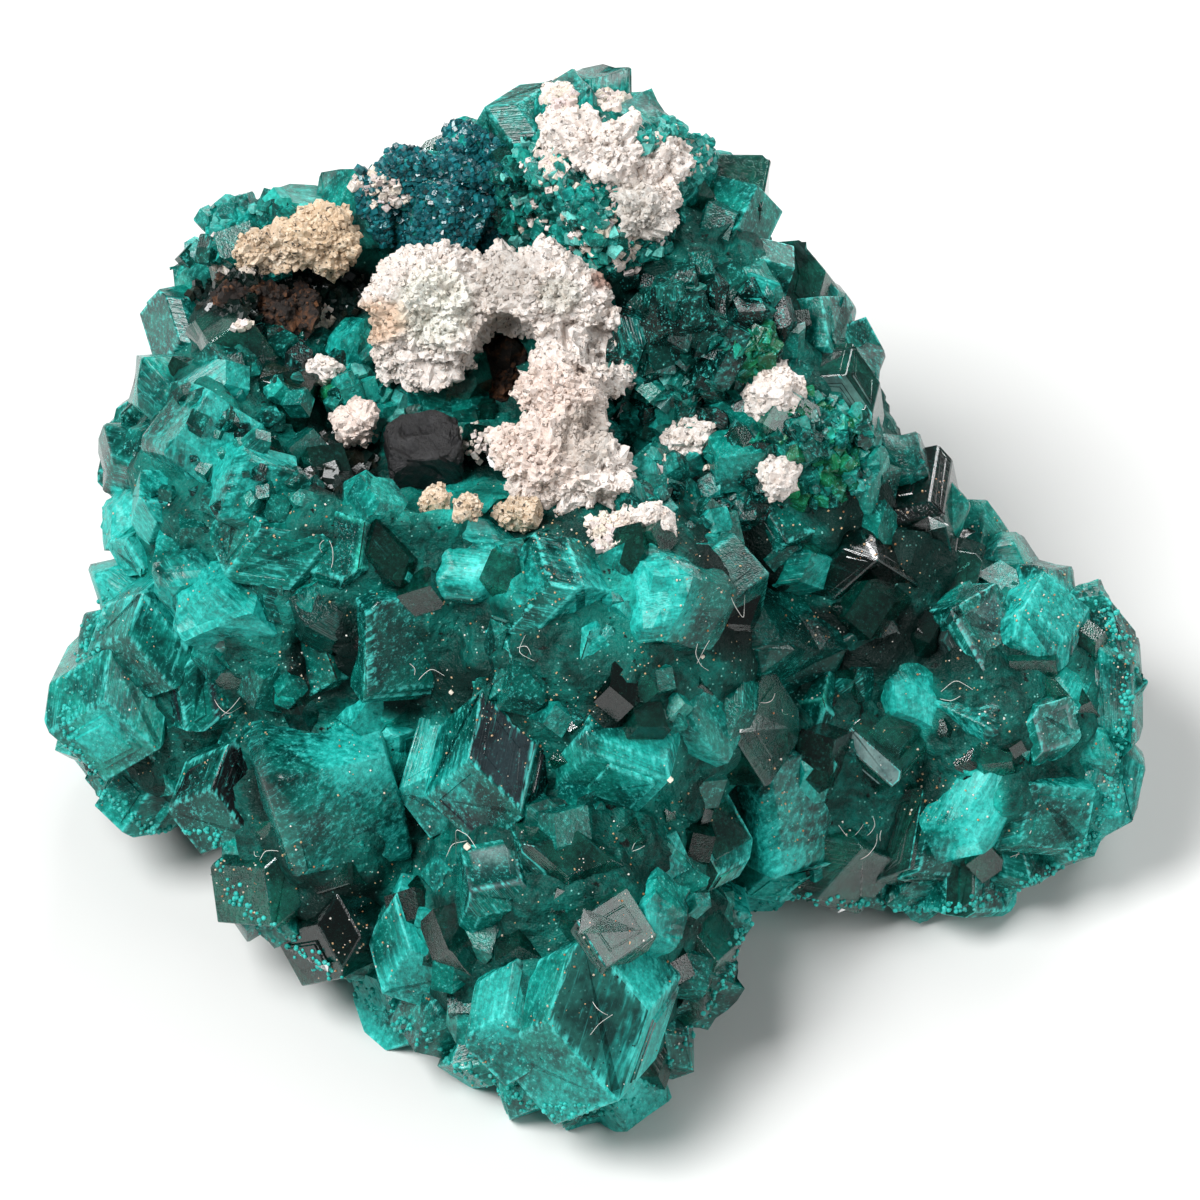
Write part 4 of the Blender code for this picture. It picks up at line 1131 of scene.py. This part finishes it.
# The colours of the small crystals
BLUE = ((0.008, 0.13, 0.155), (0.012, 0.19, 0.215), (0.004, 0.08, 0.095))
TEAL = ((0.005, 0.15, 0.12), (0.010, 0.25, 0.20), (0.003, 0.07, 0.055))
LIME = ((0.014, 0.24, 0.09), (0.008, 0.15, 0.06))
DEEP = ((0.002, 0.035, 0.028), (0.004, 0.07, 0.055), (0.001, 0.02, 0.017))
RUST = ((0.005, 0.004, 0.004), (0.012, 0.007, 0.004), (0.05, 0.018, 0.006), (0.003, 0.003, 0.003))
SKY = ((0.02, 0.38, 0.32), (0.16, 0.60, 0.53), (0.008, 0.22, 0.18))

# Patches of small crystals: place and radii in the photograph, count, sizes, colours, frost (below nought a
# painted shade, as in the dark pocket) and material
PATCHES = [
    ((440, 195), (82, 72), 2200, (0.12, 0.28), BLUE, -0.2, "satin"),
    ((590, 205), (96, 76), 700, (0.22, 0.6), TEAL + SKY, 0.2, "frosted"),
    ((670, 160), (44, 34), 400, (0.2, 0.45), SKY, 0.4, "frosted"),
    ((690, 330), (92, 60), 90, (0.4, 1.5), DEEP + DEEP + TEAL, 0.0, "frosted"),
    ((745, 352), (26, 28), 40, (0.4, 0.9), LIME, 0.2, "frosted"),
    ((240, 470), (84, 60), 22, (0.3, 1.0), TEAL + TEAL + DEEP, 0.2, "frosted"),
    ((270, 385), (84, 66), 34, (0.3, 1.1), DEEP + TEAL, 0.1, "frosted"),
    ((400, 400), (66, 40), 60, (0.4, 1.1), TEAL + SKY, 0.3, "frosted"),
    ((810, 450), (60, 54), 300, (0.25, 0.7), LIME + TEAL, 0.2, "frosted"),
    ((700, 450), (110, 80), 200, (0.3, 1.1), TEAL + DEEP, 0.25, "frosted"),
    ((250, 235), (80, 34), 160, (0.3, 0.9), TEAL + SKY, 0.3, "frosted"),
    ((640, 400), (40, 60), 100, (0.4, 1.0), TEAL + SKY, 0.3, "frosted"),
    ((345, 466), (36, 32), 120, (0.2, 0.7), RUST, -1.0, "satin"),
    ((285, 296), (92, 30), 420, (0.12, 0.45), RUST, -1.0, "satin"),
    ((590, 290), (20, 16), 30, (0.15, 0.4), RUST, -1.0, "satin"),
]

# How far the small crystals of the patches, the crevices and the sides lean off the surface's normal
PATCH_LEAN = 0.7
CREVICE_LEAN = 0.9
SIDE_LEAN = 0.8

# Where the body stays smooth: the ledge, and the mouth of the black-brown pocket
SMOOTH = [((330, 505), (150, 34)), ((280, 288), (105, 42))]

# The small crystals in the crevices and on the sides: how many, their sizes and their looks
CREVICE_COUNT = 150
CREVICE_TRIES = 900
CREVICE_SIZES = (0.6, 2.2)
CREVICE_KINDS = ("bright", "teal", "dark", "clear", "teal")
SIDE_TRIES = 1000
SIDE_SIZES = (0.6, 2.0)
SIDE_KINDS = ("clear", "teal", "bright", "dark", "teal")
SIDE_LOWEST = 0.4


def grow_druse(pile, tree, forms):
    """The druse and the small crystals on the crest, in the crater and on the shoulder."""
    rng = random.Random(21)
    for centre, radii, count, sizes, colours, frost, slot in PATCHES:
        for number in range(count):
            hit = hit_from_camera(tree, *in_ellipse(rng, centre, radii))
            if hit is None:
                continue
            matrix = seated(*hit[:2], rng.uniform(*sizes), -0.2, rng, PATCH_LEAN)
            colour = np.array(rng.choice(colours)) * rng.uniform(0.75, 1.3)
            pile.add(rng.choice(forms), matrix, SLOTS.index(slot), colour, frost + rng.uniform(-0.2, 0.2),
                     rng.uniform(0.0, PATTERNS))


def add_small(pile, forms, matrix, kinds, more_frost, rng):
    """Puts in one of the small forms with one of the looks."""
    slot, colour, frost = KINDS[rng.choice(kinds)]
    pile.add(rng.choice(forms), matrix, SLOTS.index(slot), np.array(colour) * rng.uniform(0.7, 1.4),
             frost + more_frost, rng.uniform(0.0, PATTERNS))


def grow_crevices(pile, tree, core_faces, forms):
    """Small crystals in the valleys between the large ones, seen from the camera."""
    rng = random.Random(22)
    placed = 0
    for attempt in range(CREVICE_TRIES):
        px = rng.uniform(60.0, 1140.0)
        py = rng.uniform(80.0, 1120.0)
        hit = hit_from_camera(tree, px, py)
        if hit is None or hit[2] >= core_faces or broken_open(*hit[:2]) or within(px, py, SMOOTH):
            continue
        size = rng.uniform(*CREVICE_SIZES)
        if room_to_outline(px, py) < 0.55 * size:
            continue
        matrix = seated(*hit[:2], size, -0.45, rng, CREVICE_LEAN)
        # painted shade: the small crystals darker in the dark zones, more frosted in the frosted ones
        more_frost = 0.5 * zone_share(FROST, px, py) - zone_share(DARK_AND_SHADE, px, py)
        add_small(pile, forms, matrix, CREVICE_KINDS, more_frost, rng)
        placed += 1
        if placed == CREVICE_COUNT:
            break


def grow_around(pile, forms, core):
    """Small crystals between the large ones on the sides and the back."""
    rng = random.Random(23)
    for attempt in range(SIDE_TRIES):
        where, normal = core.spot(rng)
        size = rng.uniform(*SIDE_SIZES)
        room = room_to_outline(*photo_point(where))
        if where.z < SIDE_LOWEST or normal.dot(TOWARD) > 0.15 or room < 0.6 * size:
            continue
        matrix = seated(where, normal, size, -0.2, rng, SIDE_LEAN)
        if where.z >= size:
            add_small(pile, forms, matrix, SIDE_KINDS, 0.0, rng)


# Stains on the matrix: pixel, half width, half height and the tint there
STAINS = [
    ((378, 326), (30, 20), (0.90, 0.74, 0.60)), ((438, 312), (34, 36), (0.93, 1.0, 0.97)),
    ((330, 230), (40, 40), (1.0, 0.97, 0.92)), ((540, 425), (60, 60), (0.98, 0.91, 0.88)),
    ((602, 285), (11, 9), (0.50, 0.36, 0.32)), ((585, 440), (26, 30), (0.68, 0.70, 0.69)),
    ((505, 285), (30, 26), (0.72, 0.72, 0.71)), ((632, 236), (34, 44), (0.76, 0.78, 0.77)),
    ((560, 300), (20, 16), (0.80, 0.84, 0.82)),
]

# What is missing from a lump: pixel, height over the floor and radii
MATRIX_GAPS = {
    "matrix_white": ((503, 374, 1.0, (1.15, 1.25, 2.6)), (500, 262, 3.0, (0.55, 0.5, 0.9)),
                     (610, 350, 2.2, (0.8, 0.6, 1.0)), (612, 470, 2.0, (0.5, 0.5, 0.9))),
}


# The sugary grains: their width and how many there are on a square millimetre of lump
GRAIN = 0.17
GRAINS_EACH = 170
GRAIN_STRETCH = 1.15
GRAIN_FORMS = 8


def stained(points, tint):
    """The tint of each point of the matrix with the stains over it."""
    px, py = pixels(points)
    colours = np.tile(np.array(tint, dtype=float), (len(points), 1))
    for (cx, cy), (rx, ry), stain in STAINS:
        share = np.clip(1.7 - ((px - cx) / rx) ** 2 - ((py - cy) / ry) ** 2, 0.0, 1.0)[:, None]
        colours *= 1.0 - share + share * np.array(stain)
    return colours


def grained(name, lumps, seed, tints):
    """A piece of matrix: lumps melted together, roughened, and sugared with small grains."""
    balls = [(ground(lump.px, lump.py, lump.rise), lump.radii) for lump in lumps]
    gaps = [(ground(px, py, rise), radii) for px, py, rise, radii in MATRIX_GAPS.get(name, ())]
    bm = melted(balls, MATRIX_STEP, gaps)
    rugged = min(0.6, 0.42 * max(max(radii) for centre, radii in balls))
    for vert in bm.verts:
        big = noise.fractal(vert.co * 0.5 + Vector((seed, 0, 0)), 0.45, 2.1, 7) * rugged
        knob = 0.5 - noise.voronoi(vert.co * 2.2)[0][0]
        vert.co += vert.normal * (big + 0.33 * rugged * knob - 0.2 * rugged)
    form = Form(bm)
    rng = random.Random(seed)
    pile = Pile()
    pile.add(form, Matrix(), 0, stained(form.points, tints[0]), 0.0, 3.0 * seed)
    forms = [small_form(900 + number, GRAIN_STRETCH) for number in range(GRAIN_FORMS)]
    area = sum(lump.radii[0] * lump.radii[2] for lump in lumps)
    for number in range(int(GRAINS_EACH * area)):
        where, normal = form.spot(rng)
        if normal.dot(TOWARD) < -0.5:
            continue
        matrix = seated(where, normal, GRAIN * rng.uniform(0.5, 1.5), 0.1, rng)
        shade = stained(np.array([where[:]]), rng.choice(tints))[0] * rng.uniform(0.82, 1.05)
        pile.add(rng.choice(forms), matrix, 0, shade, 0.0, rng.uniform(0.0, PATTERNS))
    return pile


def oxide_block():
    """The black block: a flat, pitted face and crumbled edges."""
    px, py, rise, sides, turn = OXIDE
    bm = bmesh.new()
    bmesh.ops.create_cube(bm, size=1.0)
    for vert in bm.verts:
        vert.co = Vector([vert.co[i] * sides[i] * 0.97 for i in range(3)])
    for x in (-1, 1):
        for y in (-1, 1):
            normal = Vector((x * 0.5, y * 0.6, 0.62)).normalized()
            slice_off(bm, normal, 0.97 * 0.40 * (sides[0] * 0.5 + sides[1] * 0.6 + sides[2] * 0.62) / 0.995)
    break_edges(bm, 0.05)
    divide(bm, 7)
    bmesh.ops.triangulate(bm, faces=bm.faces[:])
    bm.normal_update()
    for vert in bm.verts:
        chip = min(0.0, noise.noise(vert.co * 1.8) + 0.12)
        vert.co += vert.normal * (0.05 * noise.fractal(vert.co * 2.5, 0.5, 2.1, 5) + 0.35 * chip)
    pile = Pile()
    spot = Matrix.Translation(ground(px, py, rise)) @ Matrix.Rotation(math.radians(turn), 4, "Z")
    pile.add(Form(bm), spot, 0, (1, 1, 1), 0.0)
    return pile


# Loose white and cream grains: place and radii in the photograph, count and width
GRAINS = [
    ((563, 100), (30, 10), 160, 0.3), ((611, 107), (18, 9), 70, 0.25), ((560, 150), (22, 34), 240, 0.34),
    ((618, 160), (20, 18), 110, 0.3), ((632, 236), (32, 42), 260, 0.28), ((590, 200), (80, 60), 340, 0.22),
    ((670, 160), (38, 26), 200, 0.2), ((243, 255), (36, 22), 220, 0.26), ((385, 190), (30, 22), 120, 0.26),
    ((320, 318), (14, 14), 60, 0.25), ((245, 325), (12, 9), 40, 0.22), ((767, 393), (30, 26), 260, 0.28),
    ((684, 440), (28, 34), 240, 0.26), ((773, 480), (17, 22), 110, 0.24), ((617, 533), (32, 22), 200, 0.26),
    ((640, 480), (24, 20), 150, 0.24), ((360, 428), (22, 26), 120, 0.24), ((600, 350), (20, 60), 160, 0.25),
    ((714, 457), (20, 16), 80, 0.24), ((720, 420), (60, 50), 160, 0.18), ((520, 440), (60, 30), 160, 0.2),
]


def scatter_white(tree, forms):
    """Loose white and cream grains over the broken top, in drifts."""
    pile = Pile()
    rng = random.Random(31)
    for centre, radii, count, grain in GRAINS:
        for number in range(count):
            hit = hit_from_camera(tree, *in_ellipse(rng, centre, radii))
            if hit is None or noise.noise(hit[0] * 0.9) < -0.12:
                continue
            matrix = seated(*hit[:2], grain * rng.uniform(0.5, 1.6), 0.05, rng)
            shade = np.array((1.0, rng.uniform(0.93, 1.0), rng.uniform(0.86, 1.0))) * rng.uniform(0.8, 1.05)
            pile.add(rng.choice(forms), matrix, 0, shade, 0.0, rng.uniform(0.0, PATTERNS))
    return pile


# Single cream crumbs: pixel and size
CRUMBS = ((828, 747, 0.42), (470, 842, 0.26), (668, 775, 0.22), (700, 655, 0.16), (455, 690, 0.18))


CRUMB_COLOUR = (0.80, 0.72, 0.60)

# The dust: how many grains, their sizes and colours, and what a try counts for that meets nothing or a
# clean place
DUST_COUNT = 2000
DUST_SIZES = (0.03, 0.04, 0.05, 0.075)
DUST_TINTS = ((0.50, 0.33, 0.17), (0.36, 0.17, 0.07), (0.62, 0.52, 0.40), (0.70, 0.68, 0.62),
              (0.55, 0.38, 0.22))
DUST_MISS = 0.2
DUST_CLEAN = 0.05


def dust(tree, forms):
    """Fine tan, orange and white dust grains that lie where the crystals face up, and the single crumbs."""
    pile = Pile()
    rng = random.Random(41)
    placed = 0
    while placed < DUST_COUNT:
        px = rng.uniform(70.0, 1130.0)
        py = rng.uniform(480.0, 1100.0)
        hit = hit_from_camera(tree, px, py)
        if hit is None:
            placed += DUST_MISS
            continue
        where, normal, index = hit
        thick = noise.noise(Vector((px * 0.012, py * 0.012, 3.0))) + 0.5 * normal.z
        if thick < rng.uniform(0.15, 0.85):
            placed += DUST_CLEAN
            continue
        matrix = seated(where, normal, rng.choice(DUST_SIZES), 0.3, rng)
        pile.add(rng.choice(forms), matrix, 0, rng.choice(DUST_TINTS), 0.0, rng.uniform(0.0, PATTERNS))
        placed += 1
    for px, py, size in CRUMBS:
        hit = hit_from_camera(tree, px, py)
        if hit:
            matrix = Matrix.Translation(hit[0] + hit[1] * 0.2 * size) @ Matrix.Scale(size, 4)
            pile.add(forms[0], matrix, 0, CRUMB_COLOUR, 0.0)
    return pile


# The fibres: where they lie, how many parts each has, its radius and its colour
LINT = [
    (265, 855), (870, 835), (862, 828), (700, 660), (420, 680), (520, 640), (608, 1010), (330, 560),
    (780, 700), (560, 700), (470, 840), (960, 690), (245, 700), (640, 840), (1010, 850), (735, 600),
]
LINT_PARTS = 18
LINT_RADIUS = 0.011
LINT_LONGEST = 1.8
LINT_COLOUR = (0.72, 0.72, 0.68)


def strand(first, last, rng):
    """A closed thin tube that bows between two places on the surface."""
    bm = bmesh.new()
    along = last - first
    side = along.cross(TOWARD).normalized() * rng.uniform(-0.5, 0.5) * along.length
    curl = rng.uniform(0.0, 6.28)
    turn = along.to_track_quat("Z", "X").to_matrix()
    corners = [turn @ Vector((LINT_RADIUS * math.cos(a), LINT_RADIUS * math.sin(a), 0.0))
               for a in (0.0, 2.094, 4.189)]
    rings = []
    for number in range(LINT_PARTS + 1):
        share = number / LINT_PARTS
        bow = math.sin(math.pi * share)
        wave = 0.08 * along.length * math.sin(curl + 9.0 * share) * bow
        centre = first + along * share + side * (bow + wave) + TOWARD * (0.02 + 0.16 * along.length * bow)
        rings.append([bm.verts.new(centre + corner) for corner in corners])
    for low, high in zip(rings, rings[1:]):
        for corner in range(3):
            bm.faces.new((low[corner], low[corner - 2], high[corner - 2], high[corner]))
    bm.faces.new(rings[0][::-1])
    bm.faces.new(rings[-1])
    bmesh.ops.recalc_face_normals(bm, faces=bm.faces[:])
    return Form(bm)


def lint(tree):
    """A few fibres caught on the crystals."""
    pile = Pile()
    rng = random.Random(61)
    for px, py in LINT:
        for number in range(2):
            first = hit_from_camera(tree, px + rng.uniform(-9.0, 9.0), py + rng.uniform(-9.0, 9.0))
            last = hit_from_camera(tree, px + rng.uniform(-30.0, 30.0), py + rng.uniform(-22.0, 22.0))
            if first is None or last is None or (first[0] - last[0]).length > LINT_LONGEST:
                continue
            pile.add(strand(first[0], last[0], rng), Matrix(), 0, LINT_COLOUR, 0.0)
    return pile


# The beads: how many, from which row of the photograph down, the pixel they lie toward from the outline, how
# far in and with which spread, and the two colours: white, a painted highlight, and turquoise, the rim's own
# colour brightened as a painted glow
BEAD_COUNT = 900
BEAD_ROW = 580
BEADS_TOWARD = Vector((600.0, 700.0))
BEAD_SET_IN = (9.0, 3.5)
BEAD_SIZES = (0.08, 0.20)
BEAD_HIGHLIGHT = (0.45, 0.85, 0.78)
BEAD_TURQUOISE_GLOW = (0.03, 0.52, 0.44)


def beads(tree):
    """The beaded turquoise rim along the lower edge, its white beads painted highlights and its turquoise
    ones brightened as a painted glow.
    """
    pile = Pile()
    rng = random.Random(51)
    bm = bmesh.new()
    bmesh.ops.create_icosphere(bm, subdivisions=2, radius=0.5)
    ball = Form(bm)
    low = [(x, y) for x, y in OUTLINE if y > BEAD_ROW]
    for number in range(BEAD_COUNT):
        first = rng.randrange(len(low) - 1)
        (ax, ay), (bx, by) = low[first], low[first + 1]
        share = rng.random()
        px = ax + (bx - ax) * share
        py = ay + (by - ay) * share
        inward = (BEADS_TOWARD - Vector((px, py))).normalized() * abs(rng.gauss(*BEAD_SET_IN))
        hit = hit_from_camera(tree, px + inward.x * 1.4, py + inward.y * 1.4)
        if hit is None:
            continue
        size = rng.uniform(*BEAD_SIZES)
        if hit[0].z < 0.5 * size:
            continue
        matrix = Matrix.Translation(hit[0]) @ Matrix.Scale(size, 4)
        # painted highlight or glow: white beads, or brighter turquoise ones
        colour, frost = (BEAD_HIGHLIGHT, 0.9) if rng.random() < 0.5 else (BEAD_TURQUOISE_GLOW, 0.5)
        pile.add(ball, matrix, 0, colour, frost, rng.uniform(0.0, PATTERNS), True)
    return pile


def finish_piece(piece, slot, *nodes):
    """Hangs a piece on the specimen and hides the nodes whose place it takes; its slot is not used."""
    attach(piece, "root")
    if nodes:
        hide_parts(*nodes)


def make_specimen():
    """The crystals, the matrix and what lies on them, piece by piece."""
    clear = crystal_material("dioptase_clear", 0.9, 0.05, 0.30, 0.35, 0.35, ((0.05, 0.62, 0.48), 150.0))
    frosted = crystal_material("dioptase_frosted", 0.05, 0.16, 0.42, 0.55, 0.2)
    satin = crystal_material("dioptase_satin", 0.0, 0.22, 0.35, 0.20, 0.4, pitted=True)
    crystals = (clear, frosted, satin)
    core = make_core()
    all_forms = Pile()
    all_forms.add(core, Matrix(), 0, (1, 1, 1), frost_at(core.points, 0.0))
    finish_piece(all_forms.build("dioptase_roots", [core_material()]), "green_crystal", "dioptase")

    large = Pile()
    grow_chunks(large)
    spots = grow_named(large)
    for lumps in [lumps for paint, lumps in MATRIX.values()]:
        spots += [(ground(lump.px, lump.py, lump.rise), max(lump.radii)) for lump in lumps]
    outer = Pile()
    spots += grow_rim(outer)
    grow_fill(outer, spots)
    finish_piece(large.build("dioptase_crystals", crystals), "green_crystal")
    finish_piece(outer.build("dioptase_outer", crystals), "green_crystal")
    for pile in (large, outer):
        all_forms.join(pile)
    tree = all_forms.tree()
    forms = [small_form(700 + number, 1.2 + 0.08 * number) for number in range(10)]
    druse = Pile()
    grow_druse(druse, tree, forms)
    finish_piece(druse.build("dioptase_druse", crystals), "green_crystal")
    small = Pile()
    grow_crevices(small, tree, len(core.faces), forms)
    grow_around(small, forms, core)
    finish_piece(small.build("dioptase_small", crystals), "green_crystal")

    white = matrix_material("matrix_white", (0.86, 0.83, 0.80), (0.66, 0.575, 0.52), 0.7)
    cream = matrix_material("matrix_cream", (0.76, 0.66, 0.54), (0.52, 0.38, 0.25), 0.95)
    brown = rock_material("brown_rock", (0.012, 0.008, 0.006), (0.20, 0.075, 0.025), 0.75)
    black = rock_material("black_oxide", (0.006, 0.006, 0.007), (0.030, 0.030, 0.032), 0.38)
    dress_up = {"white": (white, "white_matrix"), "cream": (cream, "cream_matrix"),
                "rose": (white, "rose_matrix"), "brown": (brown, "brown_rock")}
    for number, (name, (paint, lumps)) in enumerate(MATRIX.items()):
        made, slot = dress_up[paint]
        tints = ((1.0, 0.93, 0.90),) if paint == "rose" else ((1.0, 1.0, 1.0), (1.0, 0.97, 0.94))
        pile = grained(name, lumps, 60 + 9 * number, tints)
        piece = pile.build(name + ("_crumbs" if paint == "brown" else "_sugar"), [made])
        finish_piece(piece, slot, name)
    grains = [small_form(950 + number, GRAIN_STRETCH) for number in range(GRAIN_FORMS)]
    finish_piece(scatter_white(tree, grains).build("matrix_grains", [white]), "white_matrix")
    dusty = Net("dust")
    dusty.principled(Base_Color=dusty.attribute("paint", "Color"), Roughness=0.8)
    finish_piece(dust(tree, grains).build("dust", [dusty.material]), "cream_matrix")
    finish_piece(lint(tree).build("lint", [dusty.material]), "cream_matrix")
    finish_piece(beads(tree).build("rim_beads", crystals[1:2]), "green_crystal")
    finish_piece(oxide_block().build("oxide_black", [black]), "black_oxide", "oxide_block")


# The studio in metres: the half side of the floor, and of each light its place, width and power
FLOOR_REACH = 1.5
LIGHTS = (
    ("key", (-0.24, -0.06, 0.40), 0.24, 3.3),
    ("back", (0.14, 0.36, 0.24), 0.26, 1.6),
    ("fill", (0.34, -0.18, 0.22), 0.28, 0.8),
)
LIGHTS_TOWARD = Vector((0.0, 0.0, 0.005))
# How far off the camera stands, in millimetres, and its sensor
CAMERA_DISTANCE = 600.0
SENSOR = 36.0


def make_stage():
    """The floor, the lights and the camera."""
    bm = bmesh.new()
    bmesh.ops.create_grid(bm, x_segments=1, y_segments=1, size=FLOOR_REACH)
    mesh = bpy.data.meshes.new("floor")
    bm.to_mesh(mesh)
    bm.free()
    floor = bpy.data.objects.new("floor", mesh)
    bpy.context.scene.collection.objects.link(floor)
    net = Net("floor")
    mesh.materials.append(net.principled(Base_Color=(0.66, 0.66, 0.65), Roughness=0.9))

    world = bpy.data.worlds.new("studio")
    bpy.context.scene.world = world
    world.use_nodes = True
    sky = world.node_tree.nodes["Background"]
    sky.inputs["Color"].default_value = (0.93, 0.96, 1.0, 1.0)
    sky.inputs["Strength"].default_value = 0.16
    for name, place, size, power in LIGHTS:
        light = bpy.data.lights.new(name, "AREA")
        light.size = size
        light.energy = power
        lamp = bpy.data.objects.new(name, light)
        lamp.location = place
        lamp.rotation_euler = (LIGHTS_TOWARD - Vector(place)).to_track_quat("-Z", "Y").to_euler()
        bpy.context.scene.collection.objects.link(lamp)

    camera = bpy.data.cameras.new("camera")
    eye = bpy.data.objects.new("camera", camera)
    bpy.context.scene.collection.objects.link(eye)
    target = at(PHOTO_SIZE / 2, PHOTO_SIZE / 2, 0.0) + Vector(BOX_SHIFT)
    eye.location = (target + TOWARD * CAMERA_DISTANCE) * MM
    eye.rotation_euler = (-TOWARD).to_track_quat("-Z", "Y").to_euler()
    camera.sensor_width = SENSOR
    camera.lens = SENSOR * CAMERA_DISTANCE / (PHOTO_SIZE * PIXEL)
    camera.clip_start = 0.01
    camera.clip_end = 10.0
    bpy.context.scene.camera = eye
    bpy.context.scene.view_settings.view_transform = "Standard"


make_specimen()
make_stage()
